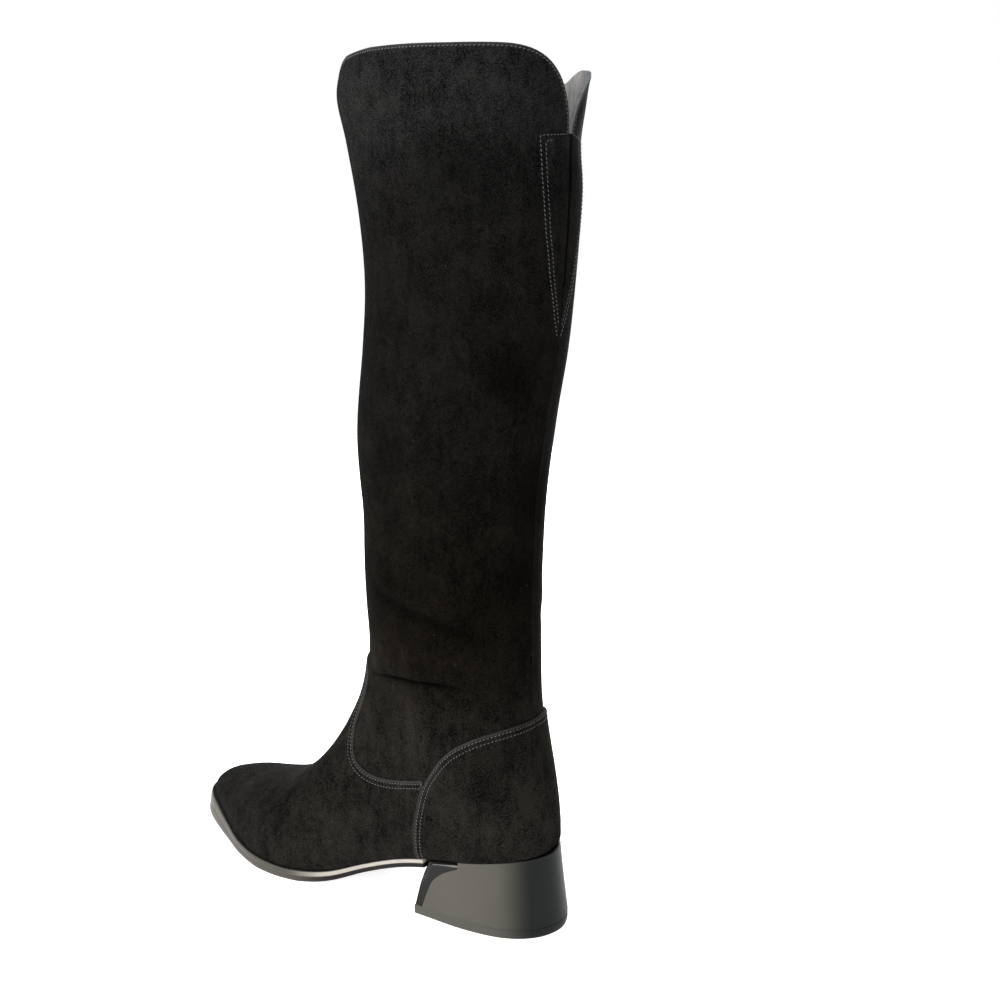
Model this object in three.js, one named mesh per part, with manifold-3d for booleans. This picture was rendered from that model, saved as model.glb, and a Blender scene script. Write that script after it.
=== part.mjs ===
import * as THREE from "three";
import { mergeVertices } from "three/addons/utils/BufferGeometryUtils.js";
import Module from "manifold-3d";

const wasm = await Module();
wasm.setup();

// Driving dimensions, in millimetres.
const GAP = 0.3; // clearance between curved pieces that meet
const WALL = 2.2; // suede and lining of the upper together
const OVERLAY = 1.1; // thickness of the vamp and counter panels
const CURVE_STEPS = 6; // straight steps in each curved stretch of an outline
const SMOOTH_STEPS = 12; // and in the notch and the pull tab
const MERGE = 1e-4; // corners closer than this are one
const SEARCH_TURNS = 40; // halvings when a place on the last is looked for

// Sections of the last, from the toe tip over the foot and up the leg.
// A section runs straight from the crown (top of the foot, then front of the leg) to its bottom
// (feather line of the sole, then back of the heel and leg). Lateral is +Y, medial is -Y.
// bottomX, bottomZ: bottom point        featherLat, featherMed: half widths where the upper meets the sole
// crownX, crownZ, crownY: crown point    lateral, medial: widest half widths
// widest: share of the way from crown to bottom where the section is widest
const SECTIONS = [
  // bottomX bottomZ featherLat featherMed crownX crownZ crownY lateral medial widest
  [255, 20, -6, -6, 255, 20, -6, -6, -6, 0.5], // toe tip
  [252.5, 19.4, 5.4, -16.2, 251.5, 26.6, -6, 5, -15.7, 0.62],
  [246, 18.1, 12.3, -23, 243.5, 29.8, -5.5, 12.3, -22.8, 0.66],
  [234, 15.5, 19.4, -29.8, 230.5, 33.2, -5, 19.7, -30, 0.7],
  [216, 12, 28.8, -35.3, 212, 36.4, -4, 29.6, -35.9, 0.72],
  [196, 8.8, 38.4, -37.6, 192.5, 41.6, -3, 39.6, -38.8, 0.74], // ball
  [175, 7.2, 43.6, -36.6, 174, 49.8, -2, 45.2, -38.4, 0.75],
  [152, 7, 42.8, -32, 157.5, 62, -1, 44.8, -36, 0.74],
  [128, 9.9, 36.8, -25.5, 145, 75.5, 0, 41, -33.5, 0.72], // instep
  [104, 18.6, 30, -22, 136, 89, 0, 36.8, -32, 0.7],
  [80, 27.6, 28, -22.6, 129.5, 101.5, 0, 34.3, -31.5, 0.68],
  [56, 33.8, 27.4, -25.5, 125, 112, 0, 33.3, -31.8, 0.66],
  [34, 37.8, 26.6, -26.3, 122, 121.5, 0, 33.3, -32.5, 0.62],
  [15, 41.8, 22.5, -22.5, 120, 131, 0, 33.6, -33.1, 0.58],
  [3, 44.1, 13, -13, 118.8, 140, 0, 34, -33.7, 0.55],
  [-1.4, 44.6, 0, 0, 118.1, 148.5, 0, 34.4, -34.3, 0.53], // back of the heel seat
  [-1.1, 51.6, 0, 0, 117.8, 152.5, 0, 34.7, -34.7, 0.52],
  [0.1, 62.8, 0, 0, 117.5, 156.5, 0, 35.1, -35.1, 0.51],
  [2.6, 78, 0, 0, 117.3, 160.5, 0, 35.7, -35.7, 0.5],
  [5.8, 93, 0, 0, 117.1, 165, 0, 36.5, -36.5, 0.5],
  [8.9, 109, 0, 0, 117, 170, 0, 37.5, -37.5, 0.5], // top of the counter
  [10.8, 125, 0, 0, 116.9, 176, 0, 38.5, -38.5, 0.5],
  [11.6, 146, 0, 0, 116.9, 184, 0, 39.6, -39.6, 0.5], // ankle
  [12, 172, 0, 0, 117, 196, 0, 40.5, -40.5, 0.5],
  [11.2, 206, 0, 0, 117.4, 215, 0, 41, -41, 0.5],
  [8.8, 245, 0, 0, 118.8, 245, 0, 42.6, -42.6, 0.5],
  [4.2, 280, 0, 0, 118.6, 280, 0, 44.5, -44.5, 0.5],
  [-1.8, 315, 0, 0, 115, 315, 0, 45.6, -45.6, 0.5], // calf
  [-5.5, 350, 0, 0, 112.4, 350, 0, 46.1, -46.1, 0.5],
  [-7.8, 385, 0, 0, 115.4, 385, 0, 48.1, -48.1, 0.5],
  [-8.6, 420, 0, 0, 122.2, 420, 0, 51.1, -51.1, 0.5],
  [-9.1, 443, 0, 0, 127.6, 443, 0, 53.6, -53.6, 0.5],
  [-9.1, 459, 0, 0, 124, 459, 0, 53.4, -53.4, 0.5], // collar
].map(([bottomX, bottomZ, featherLat, featherMed, crownX, crownZ, crownY, lateral, medial, widest]) => ({
  bottomX, bottomZ, featherLat, featherMed, crownX, crownZ, crownY, lateral, medial, widest,
}));
const HEEL_ROW = 15; // section at the back of the heel seat, where the open bottom ends
const COLLAR_ROW = SECTIONS.length - 1;
const OUTLINE = new Set(["bottomX", "bottomZ", "featherLat", "featherMed"]);
const SWAPPED = { featherLat: "featherMed", featherMed: "featherLat", lateral: "medial", medial: "lateral" };

// The value of one column at a row.
// Rows past each end of the sole are mirrored, so that its outline turns round.
function entry(key, row, segment) {
  if (row < 0) {
    if (key === "crownZ") return 2 * SECTIONS[0].crownZ - SECTIONS[-row].crownZ;
    return SECTIONS[-row][SWAPPED[key] ?? key];
  }
  if (row > COLLAR_ROW) return 2 * SECTIONS[COLLAR_ROW][key] - SECTIONS[2 * COLLAR_ROW - row][key];
  if (OUTLINE.has(key) && segment < HEEL_ROW && row > HEEL_ROW) {
    return SECTIONS[2 * HEEL_ROW - row][SWAPPED[key] ?? key];
  }
  if (OUTLINE.has(key) && segment >= HEEL_ROW && row < HEEL_ROW) {
    return 2 * SECTIONS[HEEL_ROW][key] - SECTIONS[2 * HEEL_ROW - row][key];
  }
  return SECTIONS[row][key];
}

function blendRows(key, u) {
  const segment = Math.min(Math.floor(u), COLLAR_ROW - 1);
  const t = u - segment;
  const [a, b, c, d] = [-1, 0, 1, 2].map((step) => entry(key, segment + step, segment));
  const bend = (2 * a - 5 * b + 4 * c - d) * t * t;
  const twist = (3 * b - a - 3 * c + d) * t * t * t;
  return 0.5 * (2 * b + (c - a) * t + bend + twist);
}

function section(u) {
  const made = {};
  for (const key of Object.keys(SECTIONS[0])) made[key] = blendRows(key, u);
  return made;
}

// A point of the upper's outside.
// v runs from 0 at the lateral bottom over the crown at 0.5 to 1 at the medial bottom.
const SIDE_ROUND = 0.65; // rounding of a section under its widest place, where its foot draws in
const BACK_ROUND = 0.6; // and what the heel and the back of the leg add
const ROUND_POWER = 4;
const HEEL_FULL = 2.8; // fullness of the lower half of a section at the heel
const LEG_FULL = 2; // and on the leg
const FULL_FROM = 15.5; // sections between which the one turns into the other
const FULL_TO = 24;
const CROWN_SHARE = 0.55; // share of a side's columns between the crown and the widest place
function skinPoint(u, v) {
  const turn = u >= HEEL_ROW ? v - Math.floor(v) : THREE.MathUtils.clamp(v, 0, 1);
  const s = section(u);
  const isLateral = turn < 0.5;
  const down = Math.abs(turn - 0.5) * 2;
  const wide = isLateral ? s.lateral : s.medial;
  const feather = isLateral ? s.featherLat : s.featherMed;
  let along, y;
  if (down < CROWN_SHARE) {
    const angle = (down / CROWN_SHARE) * (Math.PI / 2);
    along = s.widest * (1 - Math.cos(angle));
    y = s.crownY + (wide - s.crownY) * Math.sin(angle);
  } else {
    const reach = Math.sin(((down - CROWN_SHARE) / (1 - CROWN_SHARE)) * (Math.PI / 2));
    const upright = wide === 0 ? 1 : THREE.MathUtils.clamp(feather / wide, 0, 1);
    const roundness =
      1 + SIDE_ROUND * (1 - upright ** ROUND_POWER) + BACK_ROUND * (1 - upright) ** ROUND_POWER;
    along = s.widest + (1 - s.widest) * reach;
    const legShare = THREE.MathUtils.smoothstep(u, FULL_FROM, FULL_TO);
    const full = THREE.MathUtils.lerp(HEEL_FULL, LEG_FULL, legShare);
    y = feather + (wide - feather) * Math.max(0, 1 - reach ** full) ** (1 / roundness);
  }
  return new THREE.Vector3(
    s.crownX + (s.bottomX - s.crownX) * along,
    y,
    s.crownZ + (s.bottomZ - s.crownZ) * along,
  );
}

// Outward direction of the feather line in plan.
const STEP = 0.02;
function planNormal(u, isLateral) {
  const key = isLateral ? "featherLat" : "featherMed";
  const from = Math.max(u - STEP, 0);
  const to = Math.min(u + STEP, HEEL_ROW);
  const dx = blendRows("bottomX", to) - blendRows("bottomX", from);
  const dy = blendRows(key, to) - blendRows(key, from);
  const outward = isLateral ? 1 : -1;
  return new THREE.Vector3(dy * outward, -dx * outward, 0).normalize();
}

// Outward direction of the upper's face, turning level towards the feather line.
const LEVEL_FROM = 0.72; // shares of the way down a side
const LEVEL_TO = 0.97;
function skinNormal(u, v) {
  if (u <= 0) return new THREE.Vector3(1, 0, 0);
  const isFoot = u < HEEL_ROW;
  const from = Math.max(u - STEP, isFoot ? 0 : HEEL_ROW);
  const to = Math.min(u + STEP, isFoot ? HEEL_ROW : COLLAR_ROW);
  const alongRows = skinPoint(to, v).sub(skinPoint(from, v));
  const left = isFoot ? Math.max(v - STEP, 0) : v - STEP;
  const right = isFoot ? Math.min(v + STEP, 1) : v + STEP;
  const across = skinPoint(u, right).sub(skinPoint(u, left));
  const normal = alongRows.cross(across).normalize();
  if (!isFoot) return normal;
  const down = Math.abs(v - 0.5) * 2;
  const level = THREE.MathUtils.smoothstep(down, LEVEL_FROM, LEVEL_TO);
  return normal.lerp(planNormal(u, v < 0.5), level).normalize();
}

// A point at a distance outside (or, below zero, inside) the upper's outer face.
function upperPoint(u, v, outward) {
  return skinPoint(u, v).addScaledVector(skinNormal(u, v), outward);
}

// Closed meshes gathered face by face.
class Skin {
  constructor() {
    this.corners = [];
  }
  triangle(a, b, c) {
    for (const p of [a, b, c]) this.corners.push(p.x, p.y, p.z);
  }
  quad(a, b, c, d) {
    this.triangle(a, b, c);
    this.triangle(a, c, d);
  }
  geometry() {
    const made = new THREE.BufferGeometry();
    made.setAttribute("position", new THREE.Float32BufferAttribute(this.corners, 3));
    return made;
  }
}

// A closed solid from a mesh, without its collapsed triangles and with its faces outward.
function solidOf(geometry) {
  const bare = geometry.clone();
  bare.deleteAttribute("normal");
  bare.deleteAttribute("uv");
  const merged = mergeVertices(bare, MERGE);
  const kept = [];
  for (let i = 0; i < merged.index.count; i += 3) {
    const corners = [0, 1, 2].map((step) => merged.index.getX(i + step));
    if (new Set(corners).size === 3) kept.push(...corners);
  }
  const triVerts = new Uint32Array(kept);
  const vertProperties = merged.attributes.position.array;
  const made = new wasm.Manifold(new wasm.Mesh({ numProp: 3, vertProperties, triVerts }));
  if (made.volume() > 0) return made;
  triVerts.reverse();
  return new wasm.Manifold(new wasm.Mesh({ numProp: 3, vertProperties, triVerts }));
}

function geometryOf(solid) {
  const mesh = solid.getMesh();
  const made = new THREE.BufferGeometry();
  made.setAttribute("position", new THREE.BufferAttribute(mesh.vertProperties, 3));
  made.setIndex(new THREE.BufferAttribute(mesh.triVerts, 1));
  return made;
}

// Mesh rows over the sections, closer together where the toe and heel turn round.
const ROWS = [
  0, 0.4, 0.8, 1.3, 2, 3, 4, 5, 6, 7, 8, 9, 10, 10.7, 11.4, 12.2, 13, 13.7, 14.3, 14.7,
  15, 15.8, 16.7, 17.6, 18.5,
  19.4, 20.3, 21.2, 22.1, 23, 24, 25, 26, 27, 28, 29, 30, 31, 32,
];
const COLUMNS = 28;

// A hollow skin over the last between two distances from the upper's outer face.
// It is open underneath and at its top row.
function shell(rows, outer, inner) {
  const ring = (u, outward) =>
    Array.from({ length: COLUMNS + 1 }, (_, k) => upperPoint(u, k / COLUMNS, outward));
  const grid = (outward) => rows.map((u) => ring(u, outward));
  const out = grid(outer);
  const inn = grid(inner);
  const skin = new Skin();
  for (let i = 0; i + 1 < rows.length; i++) {
    for (let k = 0; k < COLUMNS; k++) {
      skin.quad(out[i][k], out[i][k + 1], out[i + 1][k + 1], out[i + 1][k]);
      skin.quad(inn[i][k], inn[i + 1][k], inn[i + 1][k + 1], inn[i][k + 1]);
    }
    if (rows[i + 1] > HEEL_ROW) continue;
    skin.quad(out[i][0], out[i + 1][0], inn[i + 1][0], inn[i][0]);
    skin.quad(out[i][COLUMNS], inn[i][COLUMNS], inn[i + 1][COLUMNS], out[i + 1][COLUMNS]);
  }
  const top = rows.length - 1;
  for (let k = 0; k < COLUMNS; k++) skin.quad(out[top][k], out[top][k + 1], inn[top][k + 1], inn[top][k]);
  return solidOf(skin.geometry());
}

// A prism with an outline drawn in the side view (x forward, z up), reaching across the whole boot.
const ACROSS = 160;
function sidePrism(shape, shift = 0) {
  const sizes = { depth: ACROSS, bevelEnabled: false, curveSegments: CURVE_STEPS };
  const made = new THREE.ExtrudeGeometry(shape, sizes);
  made.rotateX(Math.PI / 2);
  made.translate(shift, ACROSS / 2, shift);
  return solidOf(made);
}

// A closed strip from rows of points, each row given on an outer and an inner face.
function strip(outer, inner) {
  const skin = new Skin();
  const last = outer.length - 1;
  const side = outer[0].length - 1;
  for (let i = 0; i < last; i++) {
    for (let k = 0; k < side; k++) {
      skin.quad(outer[i][k], outer[i][k + 1], outer[i + 1][k + 1], outer[i + 1][k]);
      skin.quad(inner[i][k], inner[i + 1][k], inner[i + 1][k + 1], inner[i][k + 1]);
    }
    skin.quad(outer[i][0], outer[i + 1][0], inner[i + 1][0], inner[i][0]);
    skin.quad(outer[i][side], inner[i][side], inner[i + 1][side], outer[i + 1][side]);
  }
  for (let k = 0; k < side; k++) {
    skin.quad(outer[0][k], inner[0][k], inner[0][k + 1], outer[0][k + 1]);
    skin.quad(outer[last][k], outer[last][k + 1], inner[last][k + 1], inner[last][k]);
  }
  return solidOf(skin.geometry());
}

// Rows of closed loops joined end to end, with flat ends.
function loft(loops) {
  const skin = new Skin();
  const count = loops[0].length;
  const half = count / 2;
  for (let i = 0; i + 1 < loops.length; i++) {
    for (let k = 0; k < count; k++) {
      const next = (k + 1) % count;
      skin.quad(loops[i][k], loops[i][next], loops[i + 1][next], loops[i + 1][k]);
    }
  }
  const cap = (loop, turned) => {
    for (let k = 0; k + 1 < half; k++) {
      const [a, b, c, d] = [loop[k], loop[k + 1], loop[count - 2 - k], loop[count - 1 - k]];
      if (turned) skin.quad(a, d, c, b);
      else skin.quad(a, b, c, d);
    }
  };
  cap(loops[0], true);
  cap(loops[loops.length - 1], false);
  return solidOf(skin.geometry());
}

// Section row, and share of the way down one side, of a place given in the side view.
const FIRST_SIDE_ROW = 8;
function sidePlace(x, z) {
  const ahead = (u) => {
    const s = section(u);
    return (s.bottomX - s.crownX) * (z - s.crownZ) - (s.bottomZ - s.crownZ) * (x - s.crownX);
  };
  let low = FIRST_SIDE_ROW;
  let high = COLLAR_ROW + 0.5;
  const startSign = Math.sign(ahead(low));
  for (let turn = 0; turn < SEARCH_TURNS; turn++) {
    const middle = (low + high) / 2;
    if (Math.sign(ahead(middle)) === startSign) low = middle;
    else high = middle;
  }
  const s = section(low);
  const dx = s.bottomX - s.crownX;
  const dz = s.bottomZ - s.crownZ;
  const along = ((x - s.crownX) * dx + (z - s.crownZ) * dz) / (dx * dx + dz * dz);
  const turned =
    along < s.widest
      ? CROWN_SHARE * Math.acos(1 - along / s.widest)
      : CROWN_SHARE * (Math.PI / 2) + (1 - CROWN_SHARE) * Math.asin((along - s.widest) / (1 - s.widest));
  return { u: low, down: turned / (Math.PI / 2) };
}

// Zip on the medial side, from the collar down to the top edge of the vamp.
const ZIP_PATH = new THREE.SplineCurve(
  [
    // forward, height
    [44, 459],
    [45, 410],
    [48, 345],
    [53, 270],
    [60, 210],
    [73, 152],
    [83, 122],
    [87, 108],
  ].map(([x, z]) => new THREE.Vector2(x, z)),
);
const ZIP = {
  slotHalf: 5.2, // half width of the slot in the suede
  tapeHalf: 8.5,
  tapeThick: 0.8,
  tapeBehind: 1, // from the wall's inner face to the tape
  chainHalf: 3,
  chainFrom: 0.056, // share of the path where the chain leaves the slider
  chainTo: 0.965,
  slotTo: 0.98,
  sliderAt: 0.036, // share of the path at the slider's middle
  tapeFrom: 0.004,
  chainSunk: 0.1, // below the upper's face
};

// A place beside the zip's middle line, from the share of the path, the distance across it
// and the distance outside the upper's face.
function besideZip(share, across, outward) {
  const here = ZIP_PATH.getPointAt(share);
  const along = ZIP_PATH.getTangentAt(share);
  const { u, down } = sidePlace(here.x - along.y * across, here.y + along.x * across);
  return upperPoint(Math.min(u, COLLAR_ROW), 0.5 + down / 2, outward);
}

function zipStrip({ from, to, half, outer, inner, rows = 28, columns = 2 }) {
  const face = (outward) =>
    Array.from({ length: rows + 1 }, (_, i) =>
      Array.from({ length: columns + 1 }, (__, k) =>
        besideZip(from + ((to - from) * i) / rows, half * ((2 * k) / columns - 1), outward),
      ),
    );
  return strip(face(outer), face(inner));
}

// Notch with round shoulders at the back of the collar, and the slit that runs down from it.
const COLLAR_Z = SECTIONS[COLLAR_ROW].bottomZ;
const NOTCH = {
  bottomZ: 421,
  half: 36,
  slitEndZ: 324,
  slitHalf: 1.4,
  slitEndHalf: 0.5,
  above: 6, // how far the cut goes past the collar
  reach: 80, // and its length through the back
  behind: -40,
};
function notchCutter() {
  const shape = new THREE.Shape();
  const shoulder = NOTCH.half + NOTCH.slitHalf;
  const rise = COLLAR_Z - NOTCH.bottomZ;
  shape.moveTo(NOTCH.slitEndHalf, NOTCH.slitEndZ);
  shape.lineTo(NOTCH.slitHalf, NOTCH.bottomZ);
  shape.absellipse(shoulder, NOTCH.bottomZ, NOTCH.half, rise, Math.PI, Math.PI / 2, true);
  shape.lineTo(shoulder, COLLAR_Z + NOTCH.above);
  shape.lineTo(-shoulder, COLLAR_Z + NOTCH.above);
  shape.lineTo(-shoulder, COLLAR_Z);
  shape.absellipse(-shoulder, NOTCH.bottomZ, NOTCH.half, rise, Math.PI / 2, 0, true);
  shape.lineTo(-NOTCH.slitEndHalf, NOTCH.slitEndZ);
  const sizes = { depth: NOTCH.reach, bevelEnabled: false, curveSegments: SMOOTH_STEPS };
  const made = new THREE.ExtrudeGeometry(shape, sizes);
  made.rotateX(Math.PI / 2);
  made.rotateZ(Math.PI / 2);
  made.translate(NOTCH.behind, 0, 0);
  return solidOf(made);
}

// Upper: shaft and foot in one wall, with the back notch and the zip slot cut through it.
function makeUpper() {
  const through = 4;
  const inner = -WALL - through;
  const slot = zipStrip({ from: 0, to: ZIP.slotTo, half: ZIP.slotHalf, outer: through, inner });
  return shell(ROWS, 0, -WALL).subtract(notchCutter()).subtract(slot);
}

// Elastic triangle behind the slit.
const GORE = { topZ: 419, endZ: 318, topHalf: 21, endHalf: 4, thick: 1.2, behind: 0.8, rows: 8, columns: 8 };

// Row and turn round the leg of a place on its back.
function backPlace(y, z) {
  let low = HEEL_ROW;
  let high = COLLAR_ROW;
  for (let turn = 0; turn < SEARCH_TURNS; turn++) {
    const middle = (low + high) / 2;
    if (blendRows("bottomZ", middle) < z) low = middle;
    else high = middle;
  }
  let near = 0;
  let far = 0.25;
  for (let turn = 0; turn < SEARCH_TURNS; turn++) {
    const middle = (near + far) / 2;
    if (skinPoint(low, middle).y < Math.abs(y)) near = middle;
    else far = middle;
  }
  return { u: low, v: y < 0 ? 1 - near : near };
}

function makeGore() {
  const face = (outward) =>
    Array.from({ length: GORE.rows + 1 }, (_, i) => {
      const share = i / GORE.rows;
      const half = THREE.MathUtils.lerp(GORE.endHalf, GORE.topHalf, share);
      const z = THREE.MathUtils.lerp(GORE.endZ, GORE.topZ, share);
      return Array.from({ length: GORE.columns + 1 }, (__, k) => {
        const { u, v } = backPlace(half * ((2 * k) / GORE.columns - 1), z);
        return upperPoint(u, v, outward);
      });
    });
  const front = -WALL - GORE.behind;
  return strip(face(front), face(front - GORE.thick));
}

// Raised panels: a skin over the last, cut by outlines drawn in the side view (forward, height).
const COUNTER_EDGE = [
  [67, 25],
  [65.5, 48],
  [63, 63],
  [58, 79],
  [50, 91.5],
  [41, 102],
  [29, 110.5],
  [17, 115.5],
  [4, 118],
  [-14, 118.8],
];
const VAMP_EDGE = [
  [134, 138],
  [118, 137],
  [110.5, 131],
  [110.5, 121],
  [114, 110],
  [117, 98],
  [115, 86],
  [109, 78.5],
  [98, 75],
  [85, 75.3],
  [70, 78.5],
  [46, 85],
];
const TOP_PANEL_ROW = 23;
const panelSkin = shell(
  ROWS.filter((u) => u <= TOP_PANEL_ROW),
  GAP + OVERLAY,
  GAP,
);
const flat = (list) => list.map(([x, z]) => new THREE.Vector2(x, z));

function counterPrism(shift) {
  const [foot] = COUNTER_EDGE;
  const [, topZ] = COUNTER_EDGE[COUNTER_EDGE.length - 1];
  const behind = -30;
  const shape = new THREE.Shape();
  shape.moveTo(behind, foot[1]);
  shape.lineTo(...foot);
  shape.splineThru(flat(COUNTER_EDGE.slice(1)));
  shape.lineTo(behind, topZ);
  return sidePrism(shape, shift);
}

function vampPrism() {
  const [, topZ] = VAMP_EDGE[0];
  const [tailX] = VAMP_EDGE[VAMP_EDGE.length - 1];
  const ahead = 290;
  const below = -5;
  const shape = new THREE.Shape();
  shape.moveTo(tailX, below);
  shape.lineTo(ahead, below);
  shape.lineTo(ahead, topZ);
  shape.lineTo(...VAMP_EDGE[0]);
  shape.splineThru(flat(VAMP_EDGE.slice(1)));
  return sidePrism(shape);
}

// Pieces under the foot follow the feather line: a place on it, moved out in plan and given a height.
function underfoot(u, isLateral, outward, z) {
  const side = isLateral ? "featherLat" : "featherMed";
  const edge = new THREE.Vector3(blendRows("bottomX", u), blendRows(side, u), 0);
  return edge.addScaledVector(planNormal(u, isLateral), outward).setZ(z);
}

// Outsole, from the toe to the front of the heel, with a step round its edge.
const BREAST_ROW = 10.75; // section at the front of the heel
const SOLE_END_ROW = 10.7;
const SOLE = {
  rows: ROWS.filter((u) => u <= SOLE_END_ROW),
  foreThick: 7.2,
  waistThick: 4.8,
  foreRim: 3.3, // reach beyond the feather line
  waistRim: 1.6,
  thinFrom: 7, // sections between which the sole thins from forepart to waist
  thinTo: 9.5,
};
const SOLE_EDGE = [
  // share of the thickness down, distance in from the rim
  [0, 0.4],
  [0.1, 0],
  [0.42, 0],
  [0.5, 0.6],
  [0.88, 0.6],
  [1, 1.4],
];
function makeOutsole() {
  const loops = SOLE.rows.map((u) => {
    const waist = THREE.MathUtils.smoothstep(u, SOLE.thinFrom, SOLE.thinTo);
    const thick = THREE.MathUtils.lerp(SOLE.foreThick, SOLE.waistThick, waist);
    const rim = THREE.MathUtils.lerp(SOLE.foreRim, SOLE.waistRim, waist);
    const top = blendRows("bottomZ", u) - GAP;
    const level = (share) => Math.max(0, top - share * thick);
    const side = (isLateral) =>
      SOLE_EDGE.map(([share, inward]) => underfoot(u, isLateral, rim - inward, level(share)));
    return [...side(true), ...side(false).reverse()];
  });
  return loft(loops);
}

// Insole board, inside the upper from toe to heel.
const INSOLE = { thick: 2.4, clear: 1.1, rows: ROWS.filter((u) => u <= HEEL_ROW) };
function makeInsole() {
  const loops = INSOLE.rows.map((u) => {
    const low = blendRows("bottomZ", u);
    const side = (isLateral) =>
      [INSOLE.thick, 0].map((up) => underfoot(u, isLateral, -WALL - INSOLE.clear, low + up));
    return [...side(true), ...side(false).reverse()];
  });
  return loft(loops);
}

// Heel: a flared block under the heel seat, a satin cover round its sides and back, and a tip under it.
const HEEL = {
  rim: 1.9, // reach of its top edge beyond the feather line
  backRim: 4.2, // and at the back
  backFrom: 12.5, // section where that wider reach begins
  back: -10.4, // base, forward and across
  front: 66.1,
  halfWidth: 33.2,
  tip: 5.5,
  cover: 1,
  flare: 1.15, // how late the sides spread, 1 being straight
  rows: [BREAST_ROW, ...ROWS.filter((u) => u > BREAST_ROW && u <= HEEL_ROW)],
  levels: 5,
};
const heelColumns = [
  ...HEEL.rows.map((u) => ({ u, isLateral: true })),
  ...HEEL.rows.slice().reverse().map((u) => ({ u, isLateral: false })),
];
const seatEdge = heelColumns.map(({ u, isLateral }) => {
  const backShare = THREE.MathUtils.smoothstep(u, HEEL.backFrom, HEEL_ROW);
  return underfoot(u, isLateral, THREE.MathUtils.lerp(HEEL.rim, HEEL.backRim, backShare), 0);
});
const seatBox = new THREE.Box3().setFromPoints(seatEdge);

// A place on the heel's side: column round it, share of the way down, distance in from the outside.
function heelPoint(column, down, inward) {
  const { u, isLateral } = heelColumns[column];
  const seat = seatEdge[column];
  const baseX = THREE.MathUtils.mapLinear(seat.x, seatBox.min.x, seatBox.max.x, HEEL.back, HEEL.front);
  const baseY = (seat.y * HEEL.halfWidth) / seatBox.max.y;
  const spread = Math.pow(down, HEEL.flare);
  const place = new THREE.Vector3(
    THREE.MathUtils.lerp(seat.x, baseX, spread),
    THREE.MathUtils.lerp(seat.y, baseY, spread),
    THREE.MathUtils.lerp(blendRows("bottomZ", u) - GAP, HEEL.tip + GAP, down),
  );
  return place.addScaledVector(planNormal(u, isLateral), -inward);
}
const heelLoop = (down, inward) => heelColumns.map((_, column) => heelPoint(column, down, inward));
const heelLevels = Array.from({ length: HEEL.levels + 1 }, (_, level) => level / HEEL.levels);

function makeHeelCore() {
  return loft(heelLevels.map((down) => heelLoop(down, HEEL.cover + GAP)));
}

// Front edge of the cover, an arc that leaves the upper front corner of the block bare.
const COVER_EDGE = [
  [39.5, 52],
  [39, 32.6],
  [46, 29.6],
  [54, 25],
  [60, 18.5],
  [64.5, 3],
];
function makeHeelCover() {
  const wall = strip(
    heelLevels.map((down) => heelLoop(down, 0)),
    heelLevels.map((down) => heelLoop(down, HEEL.cover)),
  );
  const behind = -30;
  const shape = new THREE.Shape();
  shape.moveTo(behind, COVER_EDGE[0][1]);
  shape.lineTo(...COVER_EDGE[0]);
  shape.lineTo(...COVER_EDGE[1]);
  shape.splineThru(flat(COVER_EDGE.slice(2)));
  shape.lineTo(behind, COVER_EDGE[COVER_EDGE.length - 1][1]);
  return wall.intersect(sidePrism(shape));
}

function makeHeelTip() {
  const chamfer = 0.6;
  const level = (z, inward) => heelLoop(1, inward).map((place) => place.setZ(z));
  return loft([level(HEEL.tip, 0), level(chamfer, 0), level(0, chamfer)]);
}

// Slider and pull tab, drawn in their own frame: x across the zip, y up, z outward.
const SLIDER = { topHalf: 4.2, lowHalf: 3.1, shoulder: 4, crest: 6.5, down: 6, inside: 1.2, outside: 1.4 };
// Bridge that holds the tab
const BAIL = { half: 1.2, post: 1.2, reach: 3.5, opening: 2.7, bar: 1.2, chamfer: 1, sunk: 0.5 };
const TAB = {
  thick: 1.5,
  eyeTop: 0.95,
  eyeHalf: 2.9,
  windowHalf: 1.65,
  windowTop: -0.95,
  windowEnd: -5.1,
  eyeEnd: -6,
  neckAt: -8,
  neckHalf: 2.3,
  flankAt: -14,
  wideAt: -23,
  wideHalf: 4.8,
};
const tabAxisOut = SLIDER.outside + BAIL.opening / 2; // hinge axis above the upper's face

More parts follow.
